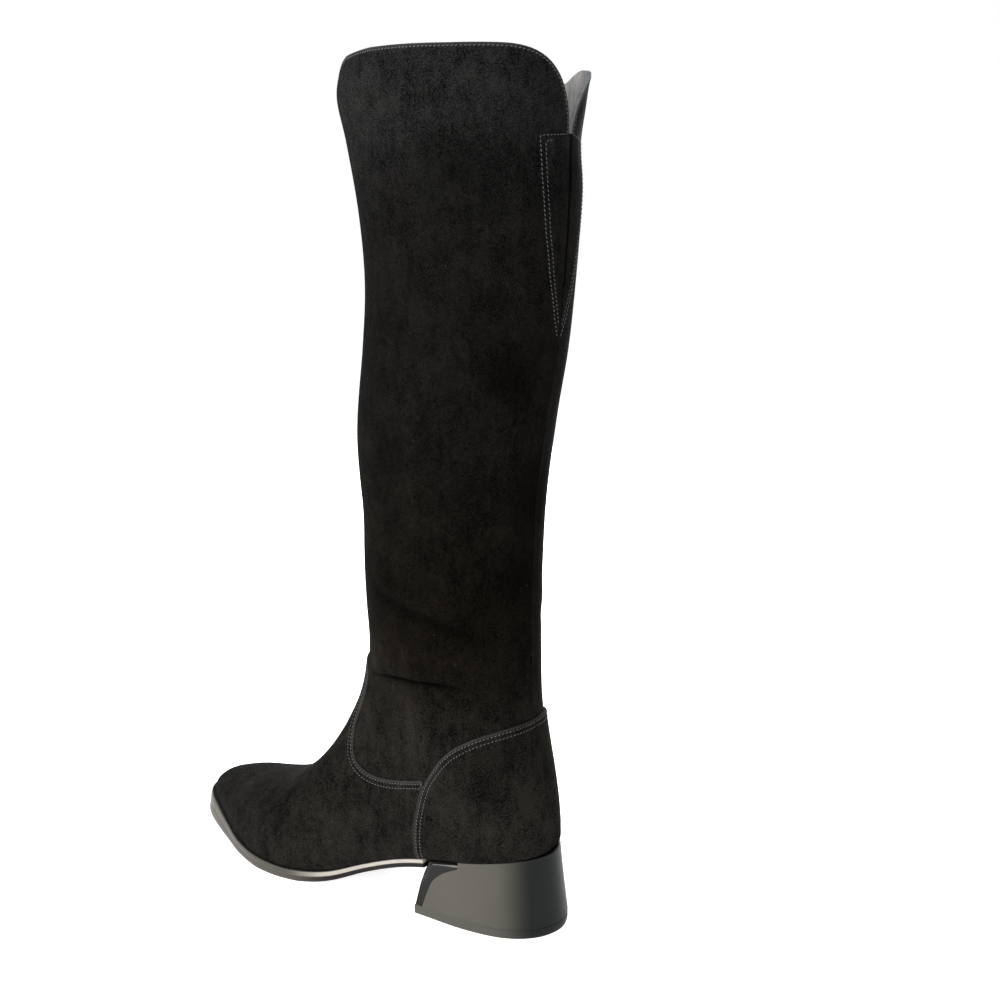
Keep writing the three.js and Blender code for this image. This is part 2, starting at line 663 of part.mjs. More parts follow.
function makeSlider() {
  const outline = new THREE.Shape();
  outline.moveTo(-SLIDER.lowHalf, -SLIDER.down);
  outline.lineTo(SLIDER.lowHalf, -SLIDER.down);
  outline.lineTo(SLIDER.topHalf, 0);
  outline.lineTo(SLIDER.topHalf, SLIDER.shoulder);
  outline.quadraticCurveTo(0, SLIDER.crest, -SLIDER.topHalf, SLIDER.shoulder);
  outline.lineTo(-SLIDER.topHalf, 0);
  const depth = SLIDER.inside + SLIDER.outside;
  const body = new THREE.ExtrudeGeometry(outline, { depth, bevelEnabled: false, curveSegments: CURVE_STEPS });
  body.translate(0, 0, -SLIDER.inside);
  const top = SLIDER.outside + BAIL.opening + BAIL.bar;
  const inner = BAIL.reach - BAIL.post;
  const sunk = SLIDER.outside - BAIL.sunk;
  const arch = new THREE.Shape();
  arch.moveTo(-BAIL.reach, sunk);
  arch.lineTo(-inner, sunk);
  arch.lineTo(-inner, SLIDER.outside + BAIL.opening);
  arch.lineTo(inner, SLIDER.outside + BAIL.opening);
  arch.lineTo(inner, sunk);
  arch.lineTo(BAIL.reach, sunk);
  arch.lineTo(BAIL.reach, top - BAIL.chamfer);
  arch.lineTo(BAIL.reach - BAIL.chamfer, top);
  arch.lineTo(BAIL.chamfer - BAIL.reach, top);
  arch.lineTo(-BAIL.reach, top - BAIL.chamfer);
  const bail = new THREE.ExtrudeGeometry(arch, { depth: 2 * BAIL.half, bevelEnabled: false });
  bail.translate(0, 0, -BAIL.half);
  bail.rotateY(-Math.PI / 2);
  bail.rotateX(Math.PI / 2);
  return solidOf(body).add(solidOf(bail));
}

function makePullTab() {
  const outline = new THREE.Shape();
  outline.moveTo(-TAB.eyeHalf, TAB.eyeTop);
  outline.lineTo(-TAB.eyeHalf, TAB.eyeEnd);
  outline.bezierCurveTo(-TAB.neckHalf, TAB.neckAt, -TAB.wideHalf, TAB.flankAt, -TAB.wideHalf, TAB.wideAt);
  outline.absarc(0, TAB.wideAt, TAB.wideHalf, Math.PI, 2 * Math.PI, false);
  outline.bezierCurveTo(TAB.wideHalf, TAB.flankAt, TAB.neckHalf, TAB.neckAt, TAB.eyeHalf, TAB.eyeEnd);
  outline.lineTo(TAB.eyeHalf, TAB.eyeTop);
  const window = new THREE.Path();
  window.moveTo(-TAB.windowHalf, TAB.windowTop);
  window.lineTo(TAB.windowHalf, TAB.windowTop);
  window.lineTo(TAB.windowHalf, TAB.windowEnd);
  window.lineTo(-TAB.windowHalf, TAB.windowEnd);
  outline.holes.push(window);
  const sizes = { depth: TAB.thick, bevelEnabled: false, curveSegments: SMOOTH_STEPS };
  const made = new THREE.ExtrudeGeometry(outline, sizes);
  made.translate(0, 0, tabAxisOut - TAB.thick / 2);
  return solidOf(made);
}

// Materials
function finish(color, roughness, metalness = 0) {
  return new THREE.MeshStandardMaterial({ color, roughness, metalness });
}
const suede = finish(0x1b1a19, 0.95);
const satinBlack = finish(0x2c2c2a, 0.45);
const glossBlack = finish(0x0c0c0c, 0.12);
const soleBlack = finish(0x2a2926, 0.5);
const lining = finish(0x5f574e, 0.7);
const elastic = finish(0x141414, 0.85);
const tapeBlack = finish(0x18181a, 0.8);
const coilBlack = finish(0x202226, 0.5);
const silver = finish(0x9a9890, 0.35, 1);

// Assembly: pieces in the frame of the last, then set with the middle of their box over the origin.
const boot = new THREE.Group();
const pieces = new THREE.Group();
boot.add(pieces);
function addPiece(name, solid, material, parent = pieces) {
  const mesh = new THREE.Mesh(geometryOf(solid), material);
  mesh.name = name;
  parent.add(mesh);
}

addPiece("upper", makeUpper(), suede);
addPiece("vamp", panelSkin.intersect(vampPrism()).subtract(counterPrism(GAP)), suede);
addPiece("counter", panelSkin.intersect(counterPrism(0)), suede);
addPiece("insole", makeInsole(), lining);
addPiece("outsole", makeOutsole(), soleBlack);
addPiece("heel_core", makeHeelCore(), glossBlack);
addPiece("heel_cover", makeHeelCover(), satinBlack);
addPiece("heel_tip", makeHeelTip(), satinBlack);
addPiece("back_gore", makeGore(), elastic);

const tapeFace = -WALL - ZIP.tapeBehind;
const tapeSizes = {
  from: ZIP.tapeFrom,
  to: 1,
  half: ZIP.tapeHalf,
  outer: tapeFace,
  inner: tapeFace - ZIP.tapeThick,
  columns: 4,
};
addPiece("zip_tape", zipStrip(tapeSizes), tapeBlack);
const chainSizes = {
  from: ZIP.chainFrom,
  to: ZIP.chainTo,
  half: ZIP.chainHalf,
  outer: -ZIP.chainSunk,
  inner: tapeFace + GAP,
};
addPiece("zip_chain", zipStrip(chainSizes), coilBlack);

const sliderGroup = new THREE.Group();
const sliderPlace = besideZip(ZIP.sliderAt, 0, 0);
const sliderOut = besideZip(ZIP.sliderAt, 0, 1).sub(sliderPlace).setZ(0).normalize();
const up = new THREE.Vector3(0, 0, 1);
const sliderAcross = new THREE.Vector3().crossVectors(up, sliderOut);
sliderGroup.applyMatrix4(new THREE.Matrix4().makeBasis(sliderAcross, up, sliderOut).setPosition(sliderPlace));
pieces.add(sliderGroup);
addPiece("zip_slider", makeSlider(), silver, sliderGroup);
addPiece("zip_pull_tab", makePullTab(), silver, sliderGroup);

const box = new THREE.Box3().setFromObject(pieces, true);
const middle = box.getCenter(new THREE.Vector3());
pieces.position.set(-middle.x, -middle.y, -box.min.z);

export default boot;
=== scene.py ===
import math

import bpy
import numpy as np
from mathutils import Matrix, Vector


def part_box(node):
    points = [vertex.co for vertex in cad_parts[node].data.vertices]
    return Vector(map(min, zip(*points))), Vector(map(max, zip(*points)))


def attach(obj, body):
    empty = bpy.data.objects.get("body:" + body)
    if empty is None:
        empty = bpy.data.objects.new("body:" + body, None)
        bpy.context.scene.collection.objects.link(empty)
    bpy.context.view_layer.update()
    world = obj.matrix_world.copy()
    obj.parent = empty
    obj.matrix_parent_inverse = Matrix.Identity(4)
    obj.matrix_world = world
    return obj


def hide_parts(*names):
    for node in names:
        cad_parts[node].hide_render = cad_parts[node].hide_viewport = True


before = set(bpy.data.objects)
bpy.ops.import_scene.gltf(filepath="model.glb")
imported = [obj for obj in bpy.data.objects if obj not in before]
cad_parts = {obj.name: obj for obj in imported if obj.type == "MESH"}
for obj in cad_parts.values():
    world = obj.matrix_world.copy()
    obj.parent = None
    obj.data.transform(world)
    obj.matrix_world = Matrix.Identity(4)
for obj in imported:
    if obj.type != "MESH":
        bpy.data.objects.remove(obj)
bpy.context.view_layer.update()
scene = bpy.context.scene
mm = 0.001
print("frame loaded,", len(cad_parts), "nodes")

# Sizes below are in mm on the last: x forward from the back of the heel seat, y out to the
# outer side, z up from the floor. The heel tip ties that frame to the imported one.
tipPlace = {"back": -10.4, "half": 33.2}
tipLow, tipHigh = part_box("heel_tip")
lastShift = np.array([tipLow.x / mm - tipPlace["back"], tipHigh.y / mm - tipPlace["half"], 0.0])


def toFrame(points):
    return (np.asarray(points, float) + lastShift) * mm


# Camera of the photograph
view = {
    "focal": 1216.96,  # px in a frame 1000 px wide
    "pixels": 1000,
    "distance": 620.33,
    "round": math.radians(31.95),
    "height": 353.46,
    "yaw": math.radians(-2.44),
    "pitch": math.radians(10.52),
    "roll": math.radians(0.33),
    "sensor": 36.0,
}


def addCamera():
    turn = view["round"]
    eye = np.array([-view["distance"] * math.sin(turn), view["distance"] * math.cos(turn), view["height"]])
    right0 = np.array([-math.cos(turn), -math.sin(turn), 0])
    depth = np.array([math.sin(turn), -math.cos(turn), 0])
    right = right0 * math.cos(view["yaw"]) - depth * math.sin(view["yaw"])
    level = right0 * math.sin(view["yaw"]) + depth * math.cos(view["yaw"])
    up = np.array([0, 0, math.cos(view["pitch"])]) + level * math.sin(view["pitch"])
    roll = view["roll"]
    rightTurned = right * math.cos(roll) + up * math.sin(roll)
    upTurned = up * math.cos(roll) - right * math.sin(roll)
    away = np.cross(rightTurned, upTurned)
    lens = bpy.data.cameras.new("studioCamera")
    lens.sensor_width = view["sensor"]
    lens.lens = view["focal"] * view["sensor"] / view["pixels"]
    lens.clip_start = 0.01
    lens.clip_end = 50
    camera = bpy.data.objects.new("studioCamera", lens)
    place = toFrame(eye)
    rows = [list(axis) + [spot] for axis, spot in zip(np.stack([rightTurned, upTurned, away], 1), place)]
    camera.matrix_world = Matrix(rows + [[0, 0, 0, 1]])
    scene.collection.objects.link(camera)
    scene.camera = camera


addCamera()
print("camera set")

# Sections of the last from the toe to the collar
last = {
    "columns": [
        "bottomX", "bottomZ", "featherLat", "featherMed",
        "crownX", "crownZ", "crownY", "lateral", "medial", "widest",
    ],
    "foot": [
        [255, 20, -6, -6, 255, 20, -6, -6, -6, 0.5],
        [252.5, 19.4, 5.4, -16.2, 251.5, 26.6, -6, 5, -15.7, 0.62],
        [246, 18.1, 12.3, -23, 243.5, 29.8, -5.5, 12.3, -22.8, 0.66],
        [234, 15.5, 19.4, -29.8, 230.5, 33.2, -5, 19.7, -30, 0.7],
        [216, 12, 28.8, -35.3, 212, 36.4, -4, 29.6, -35.9, 0.72],
        [196, 8.8, 38.4, -37.6, 192.5, 41.6, -3, 39.6, -38.8, 0.74],
        [175, 7.2, 43.6, -36.6, 174, 49.8, -2, 45.2, -38.4, 0.75],
        [152, 7, 42.8, -32, 157.5, 62, -1, 44.8, -36, 0.74],
        [128, 9.9, 36.8, -25.5, 145, 75.5, 0, 41, -33.5, 0.72],
        [104, 18.6, 30, -22, 136, 89, 0, 36.8, -32, 0.7],
        [80, 27.6, 28, -22.6, 129.5, 101.5, 0, 34.3, -31.5, 0.68],
        [56, 33.8, 27.4, -25.5, 125, 112, 0, 33.3, -31.8, 0.66],
        [34, 37.8, 26.6, -26.3, 122, 121.5, 0, 33.3, -32.5, 0.62],
        [15, 41.8, 22.5, -22.5, 120, 131, 0, 33.6, -33.1, 0.58],
        [3, 44.1, 13, -13, 118.8, 140, 0, 34, -33.7, 0.55],
        [-1.4, 44.6, 0, 0, 118.1, 148.5, 0, 34.4, -34.3, 0.53],
    ],
    "leg": [  # back, its height, front, its height, half width, widest place
        [-1.1, 51.6, 117.8, 152.5, 34.7, 0.52],
        [0.1, 62.8, 117.5, 156.5, 35.1, 0.51],
        [2.6, 78, 117.3, 160.5, 35.7, 0.5],
        [5.8, 93, 117.1, 165, 36.5, 0.5],
        [8.9, 109, 117, 170, 37.5, 0.5],
        [10.8, 125, 116.9, 176, 38.5, 0.5],
        [11.6, 146, 116.9, 184, 39.6, 0.5],
        [12, 172, 117, 196, 40.5, 0.5],
        [11.2, 206, 117.4, 215, 41, 0.5],
        [8.8, 245, 118.8, 245, 42.6, 0.5],
        [4.2, 280, 118.6, 280, 44.5, 0.5],
        [-1.8, 315, 115, 315, 45.6, 0.5],
        [-5.5, 350, 112.4, 350, 46.1, 0.5],
        [-7.8, 385, 115.4, 385, 48.1, 0.5],
        [-8.6, 420, 122.2, 420, 51.1, 0.5],
        [-9.1, 443, 127.6, 443, 53.6, 0.5],
        [-9.1, 459, 124, 459, 53.4, 0.5],
    ],
    "swaps": {
        "featherLat": "featherMed", "featherMed": "featherLat",
        "lateral": "medial", "medial": "lateral",
    },
    "outline": ["bottomX", "bottomZ", "featherLat", "featherMed"],
    "heelRow": 15,
    "collarRow": 32,
    "crownShare": 0.55,
    "sideRound": 0.65,
    "backRound": 0.6,
    "roundPower": 4,
    "heelFull": 2.8,
    "legFull": 2.0,
    "fullFrom": 15.5,
    "fullTo": 24,
    "step": 0.02,
    "levelFrom": 0.72,
    "levelTo": 0.97,
    "wall": 2.2,
}
legRows = [[bx, bz, 0, 0, cx, cz, 0, half, -half, wide] for bx, bz, cx, cz, half, wide in last["leg"]]
sections = np.array(last["foot"] + legRows, float)
heelRow, collarRow = last["heelRow"], last["collarRow"]


def rowTables(key):
    own = sections[:, last["columns"].index(key)]
    twin = sections[:, last["columns"].index(last["swaps"].get(key, key))]
    first = 2 * own[0] - own[1] if key == "crownZ" else twin[1]
    rows = np.concatenate([[first], own, [2 * own[-1] - own[-2]]])
    foot, leg = rows.copy(), rows.copy()
    if key in last["outline"]:
        foot[heelRow + 2] = twin[heelRow - 1]
        leg[heelRow] = 2 * own[heelRow] - own[heelRow + 1]
    return foot, leg


tables = {key: rowTables(key) for key in last["columns"]}


def blendRows(key, u):
    u = np.asarray(u, float)
    segment = np.clip(np.floor(u), 0, collarRow - 1).astype(int)
    t = u - segment
    foot, leg = tables[key]
    a, b, c, d = [np.where(segment < heelRow, foot[segment + k], leg[segment + k]) for k in range(4)]
    bend = (2 * a - 5 * b + 4 * c - d) * t**2
    twist = (3 * b - a - 3 * c + d) * t**3
    return 0.5 * (2 * b + (c - a) * t + bend + twist)


def smoothStep(value, low, high):
    t = np.clip((np.asarray(value, float) - low) / (high - low), 0, 1)
    return t * t * (3 - 2 * t)


def bell(value, spread):
    return np.exp(-((value / spread) ** 2))


def mound(points, middle, reach):
    return np.exp(-(((points - np.array(middle)) / np.array(reach)) ** 2).sum(1))


def unit(vectors):
    return vectors / np.maximum(np.linalg.norm(vectors, axis=-1, keepdims=True), 1e-12)


# A place on the bare last: u counts sections, and v runs from the outer bottom over the crown
# to the inner bottom
def lastPoint(u, v):
    u, v = np.broadcast_arrays(np.asarray(u, float), np.asarray(v, float))
    turn = np.where(u >= heelRow, v - np.floor(v), np.clip(v, 0, 1))
    s = {key: blendRows(key, u) for key in last["columns"]}
    outer = turn < 0.5
    down = np.abs(turn - 0.5) * 2
    wide = np.where(outer, s["lateral"], s["medial"])
    feather = np.where(outer, s["featherLat"], s["featherMed"])
    share = last["crownShare"]
    angle = np.minimum(down / share, 1) * math.pi / 2
    alongTop = s["widest"] * (1 - np.cos(angle))
    yTop = s["crownY"] + (wide - s["crownY"]) * np.sin(angle)
    reach = np.sin(np.clip((down - share) / (1 - share), 0, 1) * math.pi / 2)
    upright = np.clip(feather / np.where(wide == 0, 1, wide), 0, 1)
    upright = np.where(wide == 0, 1, upright)
    power = last["roundPower"]
    roundness = 1 + last["sideRound"] * (1 - upright**power) + last["backRound"] * (1 - upright) ** power
    legShare = smoothStep(u, last["fullFrom"], last["fullTo"])
    full = last["heelFull"] + (last["legFull"] - last["heelFull"]) * legShare
    yLow = feather + (wide - feather) * np.maximum(0, 1 - reach**full) ** (1 / roundness)
    along = np.where(down < share, alongTop, s["widest"] + (1 - s["widest"]) * reach)
    x = s["crownX"] + (s["bottomX"] - s["crownX"]) * along
    z = s["crownZ"] + (s["bottomZ"] - s["crownZ"]) * along
    return np.stack([x, np.where(down < share, yTop, yLow), z], -1)


def planNormal(u, outer):
    step = last["step"]
    early, late = np.maximum(u - step, 0), np.minimum(u + step, heelRow)
    side = np.where(outer, 1.0, -1.0)
    dx = blendRows("bottomX", late) - blendRows("bottomX", early)
    lat = blendRows("featherLat", late) - blendRows("featherLat", early)
    med = blendRows("featherMed", late) - blendRows("featherMed", early)
    dy = np.where(outer, lat, med)
    return unit(np.stack([dy * side, -dx * side, np.zeros_like(dx)], -1))


def lastNormal(u, v):
    u, v = np.broadcast_arrays(np.asarray(u, float), np.asarray(v, float))
    step = last["step"]
    foot = u < heelRow
    early = np.maximum(u - step, np.where(foot, 0, heelRow))
    late = np.minimum(u + step, np.where(foot, heelRow - 1e-9, collarRow + 1))
    left = np.where(foot, np.maximum(v - step, 0), v - step)
    right = np.where(foot, np.minimum(v + step, 1), v + step)
    lengthwise = lastPoint(late, v) - lastPoint(early, v)
    normal = unit(np.cross(lengthwise, lastPoint(u, right) - lastPoint(u, left)))
    level = smoothStep(np.abs(v - 0.5) * 2, last["levelFrom"], last["levelTo"])
    level = np.where(foot, level, 0)[..., None]
    normal = unit(normal * (1 - level) + planNormal(np.minimum(u, heelRow), v < 0.5) * level)
    return np.where((u <= 0)[..., None], np.array([1.0, 0, 0]), normal)


def splinePoints(points, count):
    knots = np.array(points, float)
    ends = np.concatenate([knots[:1], knots, knots[-1:]])
    t = np.linspace(0, len(knots) - 1, count)
    segment = np.minimum(t.astype(int), len(knots) - 2)
    t = (t - segment)[:, None]
    a, b, c, d = [ends[segment + k] for k in range(4)]
    return 0.5 * (2 * b + (c - a) * t + (2 * a - 5 * b + 4 * c - d) * t**2 + (3 * b - a - 3 * c + d) * t**3)


# Distance from points to a line of samples, with the nearest sample's number
def nearestSample(points, samples):
    best = np.full(len(points), 1e9)
    which = np.zeros(len(points), int)
    for start in range(0, len(points), 4000):
        gaps = ((points[start:start + 4000, None, :] - samples[None]) ** 2).sum(-1)
        which[start:start + 4000] = gaps.argmin(1)
        best[start:start + 4000] = gaps.min(1)
    return np.sqrt(best), which


# Folds that wear has put in the leg
folds = {
    "creases": [  # path, depth, width, bulge above it, how far above, its spread
        ([(105, 21, 130.5), (95, 28.5, 133), (86, 32, 135), (73, 36, 137),
          (60, 38, 138), (50, 37, 139), (38, 35, 139), (29, 31, 138)], 1.8, 1.6, 1.4, 6, 4.8),
        ([(90, 36, 184), (78, 39, 181), (65, 40, 178), (51, 39, 174),
          (39, 36, 171), (26, 28, 167), (16, 18, 162)], 1.4, 4.2, 1.0, 9, 7),
        ([(104, -22, 133), (92, -29, 136), (80, -33, 139)], 1.0, 2.2, 0.8, 6, 5),
        ([(56, -39, 141), (44, -36, 142), (30, -31, 140), (18, -20, 137)], 1.0, 2.4, 0.8, 6, 5),
        ([(50, -38, 182), (38, -35, 178), (24, -27, 173), (15, -14, 170)], 0.8, 4.0, 0.6, 9, 7),
        ([(117, 10, 160), (118, 0, 158), (116, -12, 161), (110, -24, 165)], 0.7, 4.0, 0.7, 9, 7),
    ],
    "swells": [  # middle, reach along x, y and z, height
        ((7, 23, 304), (14, 12, 16), -1.2),
        ((10, 5, 238), (9, 14, 17), -1.1),
        ((13, 9, 196), (9, 13, 15), -1.0),
        ((58, 45, 262), (5, 12, 40), 0.7),
        ((74, 44, 262), (8, 12, 44), -0.7),
        ((112, 18, 263), (16, 18, 20), 0.9),
        ((112, 18, 225), (14, 18, 14), -0.7),
        ((96, 36, 320), (18, 14, 22), -0.9),
        ((84, 46, 385), (26, 14, 28), 0.7),
        ((40, 46, 350), (24, 12, 30), 0.8),
        ((30, 40, 205), (18, 14, 16), 0.8),
        ((80, 39, 205), (20, 12, 14), -0.6),
        ((20, -34, 300), (14, 14, 22), -1.0),
        ((90, -38, 285), (18, 14, 26), 0.8),
        ((30, -40, 370), (18, 14, 30), -0.8),
        ((100, -34, 390), (20, 16, 26), -0.8),
        ((24, -30, 225), (12, 14, 18), -0.8),
        ((106, -26, 200), (14, 14, 18), 0.7),
        ((55, 34, 112), (14, 10, 7), -0.4),
        ((-2, -20, 418), (14, 15, 15), -2.2),
        ((2, -24, 462), (16, 16, 14), 3.2),
    ],
    "backSeam": {"raise": 0.45, "spread": 2.3, "groove": 0.55, "grooveSpread": 0.5, "top": 322, "end": 118},
    "reach": 22,  # how far from its path a crease is looked for
    "beyond": 60.0,
    "ends": (0.18, 0.3),  # shares of a crease over which it fades in and out
    "aside": 6,
}
creasePaths = [splinePoints(path, 90) for path, *_ in folds["creases"]]


def creaseField(points, samples):
    reach = folds["reach"]
    field = np.full(len(points), folds["beyond"])
    level = np.zeros(len(points))
    share = np.zeros(len(points))
    low, high = samples.min(0) - reach, samples.max(0) + reach
    near = np.where(((points > low) & (points < high)).all(1))[0]
    if len(near):
        gap, which = nearestSample(points[near], samples)
        rise = points[near, 2] - samples[which, 2]
        field[near] = gap * np.where(rise < 0, -1, 1)
        level[near] = np.sqrt(np.maximum(gap**2 - rise**2, 0))
        share[near] = which / (len(samples) - 1)
    return field, level, share


def creaseFade(share, level, start):
    along = smoothStep(share, 0, start) * smoothStep(1 - share, 0, folds["ends"][1])
    return along * bell(level, folds["aside"])


def foldHeight(points):
    shape = points.shape[:-1]
    points = points.reshape(-1, 3)
    height = np.zeros(len(points))
    for (path, depth, width, bulge, above, spread), samples in zip(folds["creases"], creasePaths):
        field, level, share = creaseField(points, samples)
        fade = creaseFade(share, level, folds["ends"][0])
        height += fade * (bulge * bell(field - above, spread) - depth * bell(field, width))
    for middle, reach, swell in folds["swells"]:
        height += swell * mound(points, middle, reach)
    seam = folds["backSeam"]
    x, y, z = points.T
    along = smoothStep(z, seam["end"] - 6, seam["end"] + 4)
    along = along * smoothStep(-z, -seam["top"], -seam["top"] + 8) * (x < 30)
    ridge = seam["raise"] * bell(y, seam["spread"])
    height += along * (ridge - seam["groove"] * bell(y, seam["grooveSpread"]))
    return height.reshape(shape)


def skinPoint(u, v, outward):
    bare = lastPoint(u, v)
    return bare + lastNormal(u, v) * (outward + foldHeight(bare))[..., None]


# Sheets of triangles over (u, v) that carry fields, and are split and cut along their levels
def gridSheet(rows, columns):
    u, v = np.meshgrid(rows, columns, indexing="ij")
    number = np.arange(u.size).reshape(u.shape)
    a, b = number[:-1, :-1].ravel(), number[1:, :-1].ravel()
    c, d = number[1:, 1:].ravel(), number[:-1, 1:].ravel()
    tris = np.concatenate([np.stack([a, b, c], 1), np.stack([a, c, d], 1)])
    return np.stack([u.ravel(), v.ravel()], 1), tris


def crossed(data, tris, column, level):
    value = data[:, column] - level
    value = np.where(np.abs(value) < 1e-7, 1e-7, value)
    side = value > 0
    inside = side[tris].sum(1)
    return value, side, tris[(inside > 0) & (inside < 3)], tris[(inside == 0) | (inside == 3)]


def betweenEnds(data, value, i, j):
    t = value[i] / (value[i] - value[j])
    return data[i] * (1 - t) + data[j] * t


def splitAt(data, tris, column, level):
    value, side, mixed, kept = crossed(data, tris, column, level)
    extra, made, fresh = [], {}, []

    def crossing(i, j):
        key = (min(i, j), max(i, j))
        if key not in made:
            made[key] = len(data) + len(extra)
            extra.append(betweenEnds(data, value, *key))
        return made[key]

    for tri in mixed:
        corners = [int(corner) for corner in tri]
        signs = [side[corner] for corner in corners]
        lone = next(k for k in range(3) if signs.count(signs[k]) == 1)
        a, b, c = corners[lone], corners[lone - 2], corners[lone - 1]
        ab, ac = crossing(a, b), crossing(a, c)
        fresh += [(a, ab, ac), (ab, b, c), (ab, c, ac)]
    if not fresh:
        return data, tris
    grown = np.concatenate([data, np.array(extra)])
    grown[len(data):, column] = level
    return grown, np.concatenate([kept, np.array(fresh, int)])


def splitLevels(data, tris, column, levels):
    for level in levels:
        data, tris = splitAt(data, tris, column, level)
    return data, tris


# Cut along a field's zero line, and keep what lies above it
def cutAt(data, tris, column):
    data, tris = splitAt(data, tris, column, 0)
    kept = tris[data[tris, column].mean(1) > 0]
    used, tris = np.unique(kept, return_inverse=True)
    return data[used], tris.reshape(-1, 3)


def levelLines(data, tris, column, level):
    value, side, mixed, _ = crossed(data, tris, column, level)
    spots, links = {}, {}
    for tri in mixed:
        ends = []
        for i, j in zip(tri, np.roll(tri, -1)):
            if side[i] == side[j]:
                continue
            key = (min(i, j), max(i, j))
            spots[key] = betweenEnds(data, value, *key)
            ends.append(key)
        links.setdefault(ends[0], []).append(ends[1])
        links.setdefault(ends[1], []).append(ends[0])
    lines, seen = [], set()
    for start in sorted(links, key=lambda key: len(links[key])):
        if start in seen:
            continue
        line, here = [], start
        while here is not None:
            seen.add(here)
            line.append(spots[here])
            here = next((key for key in links[here] if key not in seen), None)
        if len(line) > 3:
            lines.append(np.array(line))
    return lines


# A closed wall from a sheet: its outer and inner places, joined round every border
def thickSheet(outer, inner, tris):
    keys = np.round(outer * 500).astype(np.int64)
    _, first, same = np.unique(keys, axis=0, return_index=True, return_inverse=True)
    tris = same.reshape(-1)[tris]
    tris = tris[(tris[:, 0] != tris[:, 1]) & (tris[:, 1] != tris[:, 2]) & (tris[:, 2] != tris[:, 0])]
    count = len(first)
    edges = np.concatenate([tris[:, [0, 1]], tris[:, [1, 2]], tris[:, [2, 0]]])
    codes = np.sort(edges, 1) @ np.array([count, 1])
    _, where, often = np.unique(codes, return_index=True, return_counts=True)
    rim = edges[where[often == 1]]
    a, b = rim[:, 0], rim[:, 1]
    walls = np.concatenate([np.stack([b, a, a + count], 1), np.stack([b, a + count, b + count], 1)])
    faces = np.concatenate([tris, tris[:, ::-1] + count, walls])
    part = np.repeat([0, 1, 2], [len(tris), len(tris), len(walls)])
    return np.concatenate([outer[first], inner[first]]), faces, part, first


def addMesh(name, points, faces, finishes, body, replaced=(), part=None, layers=None, sharp=42):
    mesh = bpy.data.meshes.new(name)
    mesh.from_pydata(toFrame(points).tolist(), [], [list(map(int, face)) for face in faces])
    for finish in finishes:
        mesh.materials.append(finish)
    if part is not None:
        mesh.polygons.foreach_set("material_index", np.asarray(part, np.int32))
    for layer, values in (layers or {}).items():
        made = mesh.attributes.new(layer, "FLOAT", "POINT")
        made.data.foreach_set("value", np.asarray(values, np.float32))
    mesh.polygons.foreach_set("use_smooth", np.ones(len(mesh.polygons), bool))
    mesh.update()
    mesh.set_sharp_from_angle(angle=math.radians(sharp))
    piece = bpy.data.objects.new(name, mesh)
    scene.collection.objects.link(piece)
    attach(piece, body)
    if replaced:
        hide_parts(*replaced)
    return piece


# Shader maths: a wrapped socket, and a finish whose one method makes every node
class Wire:
    def __init__(self, finish, socket):
        self.finish = finish
        self.socket = socket

    def worked(self, operation, first, second):
        return self.finish.node("ShaderNodeMath", {"operation": operation}, {0: first, 1: second})

    def __add__(self, other):
        return self.worked("ADD", self, other)

    def __radd__(self, other):
        return self.worked("ADD", other, self)

    def __sub__(self, other):
        return self.worked("SUBTRACT", self, other)

    def __rsub__(self, other):
        return self.worked("SUBTRACT", other, self)

    def __mul__(self, other):
        return self.worked("MULTIPLY", self, other)

    def __rmul__(self, other):
        return self.worked("MULTIPLY", other, self)

    def __truediv__(self, other):
        return self.worked("DIVIDE", self, other)

    def __pow__(self, other):
        return self.worked("POWER", self, other)

    def __gt__(self, other):
        return self.worked("GREATER_THAN", self, other)


class Finish:
    def __init__(self, name, world=False):
        self.owner = bpy.data.worlds.new(name) if world else bpy.data.materials.new(name)
        self.owner.use_nodes = True
        self.tree = self.owner.node_tree
        self.shader = self.tree.nodes["Background" if world else "Principled BSDF"]

    def node(self, kind, settings=None, sockets=None, out=0):
        made = self.tree.nodes.new(kind)
        for key, value in (settings or {}).items():
            setattr(made, key, value)
        for key, value in (sockets or {}).items():
            self.feed(made.inputs[key], value)
        return Wire(self, made.outputs[out])

    def feed(self, socket, value):
        if isinstance(value, Wire):
            self.tree.links.new(value.socket, socket)
        elif isinstance(value, (tuple, list)) and len(value) == 3 and len(socket.default_value) == 4:
            socket.default_value = (*value, 1)
        else:
            socket.default_value = value

    def place(self, stretch=(1, 1, 1)):
        spot = self.node("ShaderNodeTexCoord", out="Object")
        sizes = tuple(v / mm for v in stretch)
        return self.node("ShaderNodeVectorMath", {"operation": "MULTIPLY"}, {0: spot, 1: sizes})

    def noise(self, size, detail=3.0, rough=0.55, stretch=(1, 1, 1)):
        sockets = {"Vector": self.place(stretch), "Scale": 1 / size, "Detail": detail, "Roughness": rough}
        return self.node("ShaderNodeTexNoise", None, sockets)

    def mix(self, share, first, second):
        return self.node("ShaderNodeMix", {"data_type": "RGBA"}, {0: share, 6: first, 7: second}, 2)

    def attribute(self, name):
        return self.node("ShaderNodeAttribute", {"attribute_name": name}, out="Fac")

    def clamped(self, wire):
        return self.node("ShaderNodeClamp", None, {0: wire})

    def bump(self, height, depth, strength=1.0):
        sockets = {"Height": height, "Distance": depth * mm, "Strength": strength}
        return self.node("ShaderNodeBump", None, sockets)

    def done(self, **sockets):
        for key, value in sockets.items():
            self.feed(self.shader.inputs[key.replace("_", " ")], value)
        return self.owner


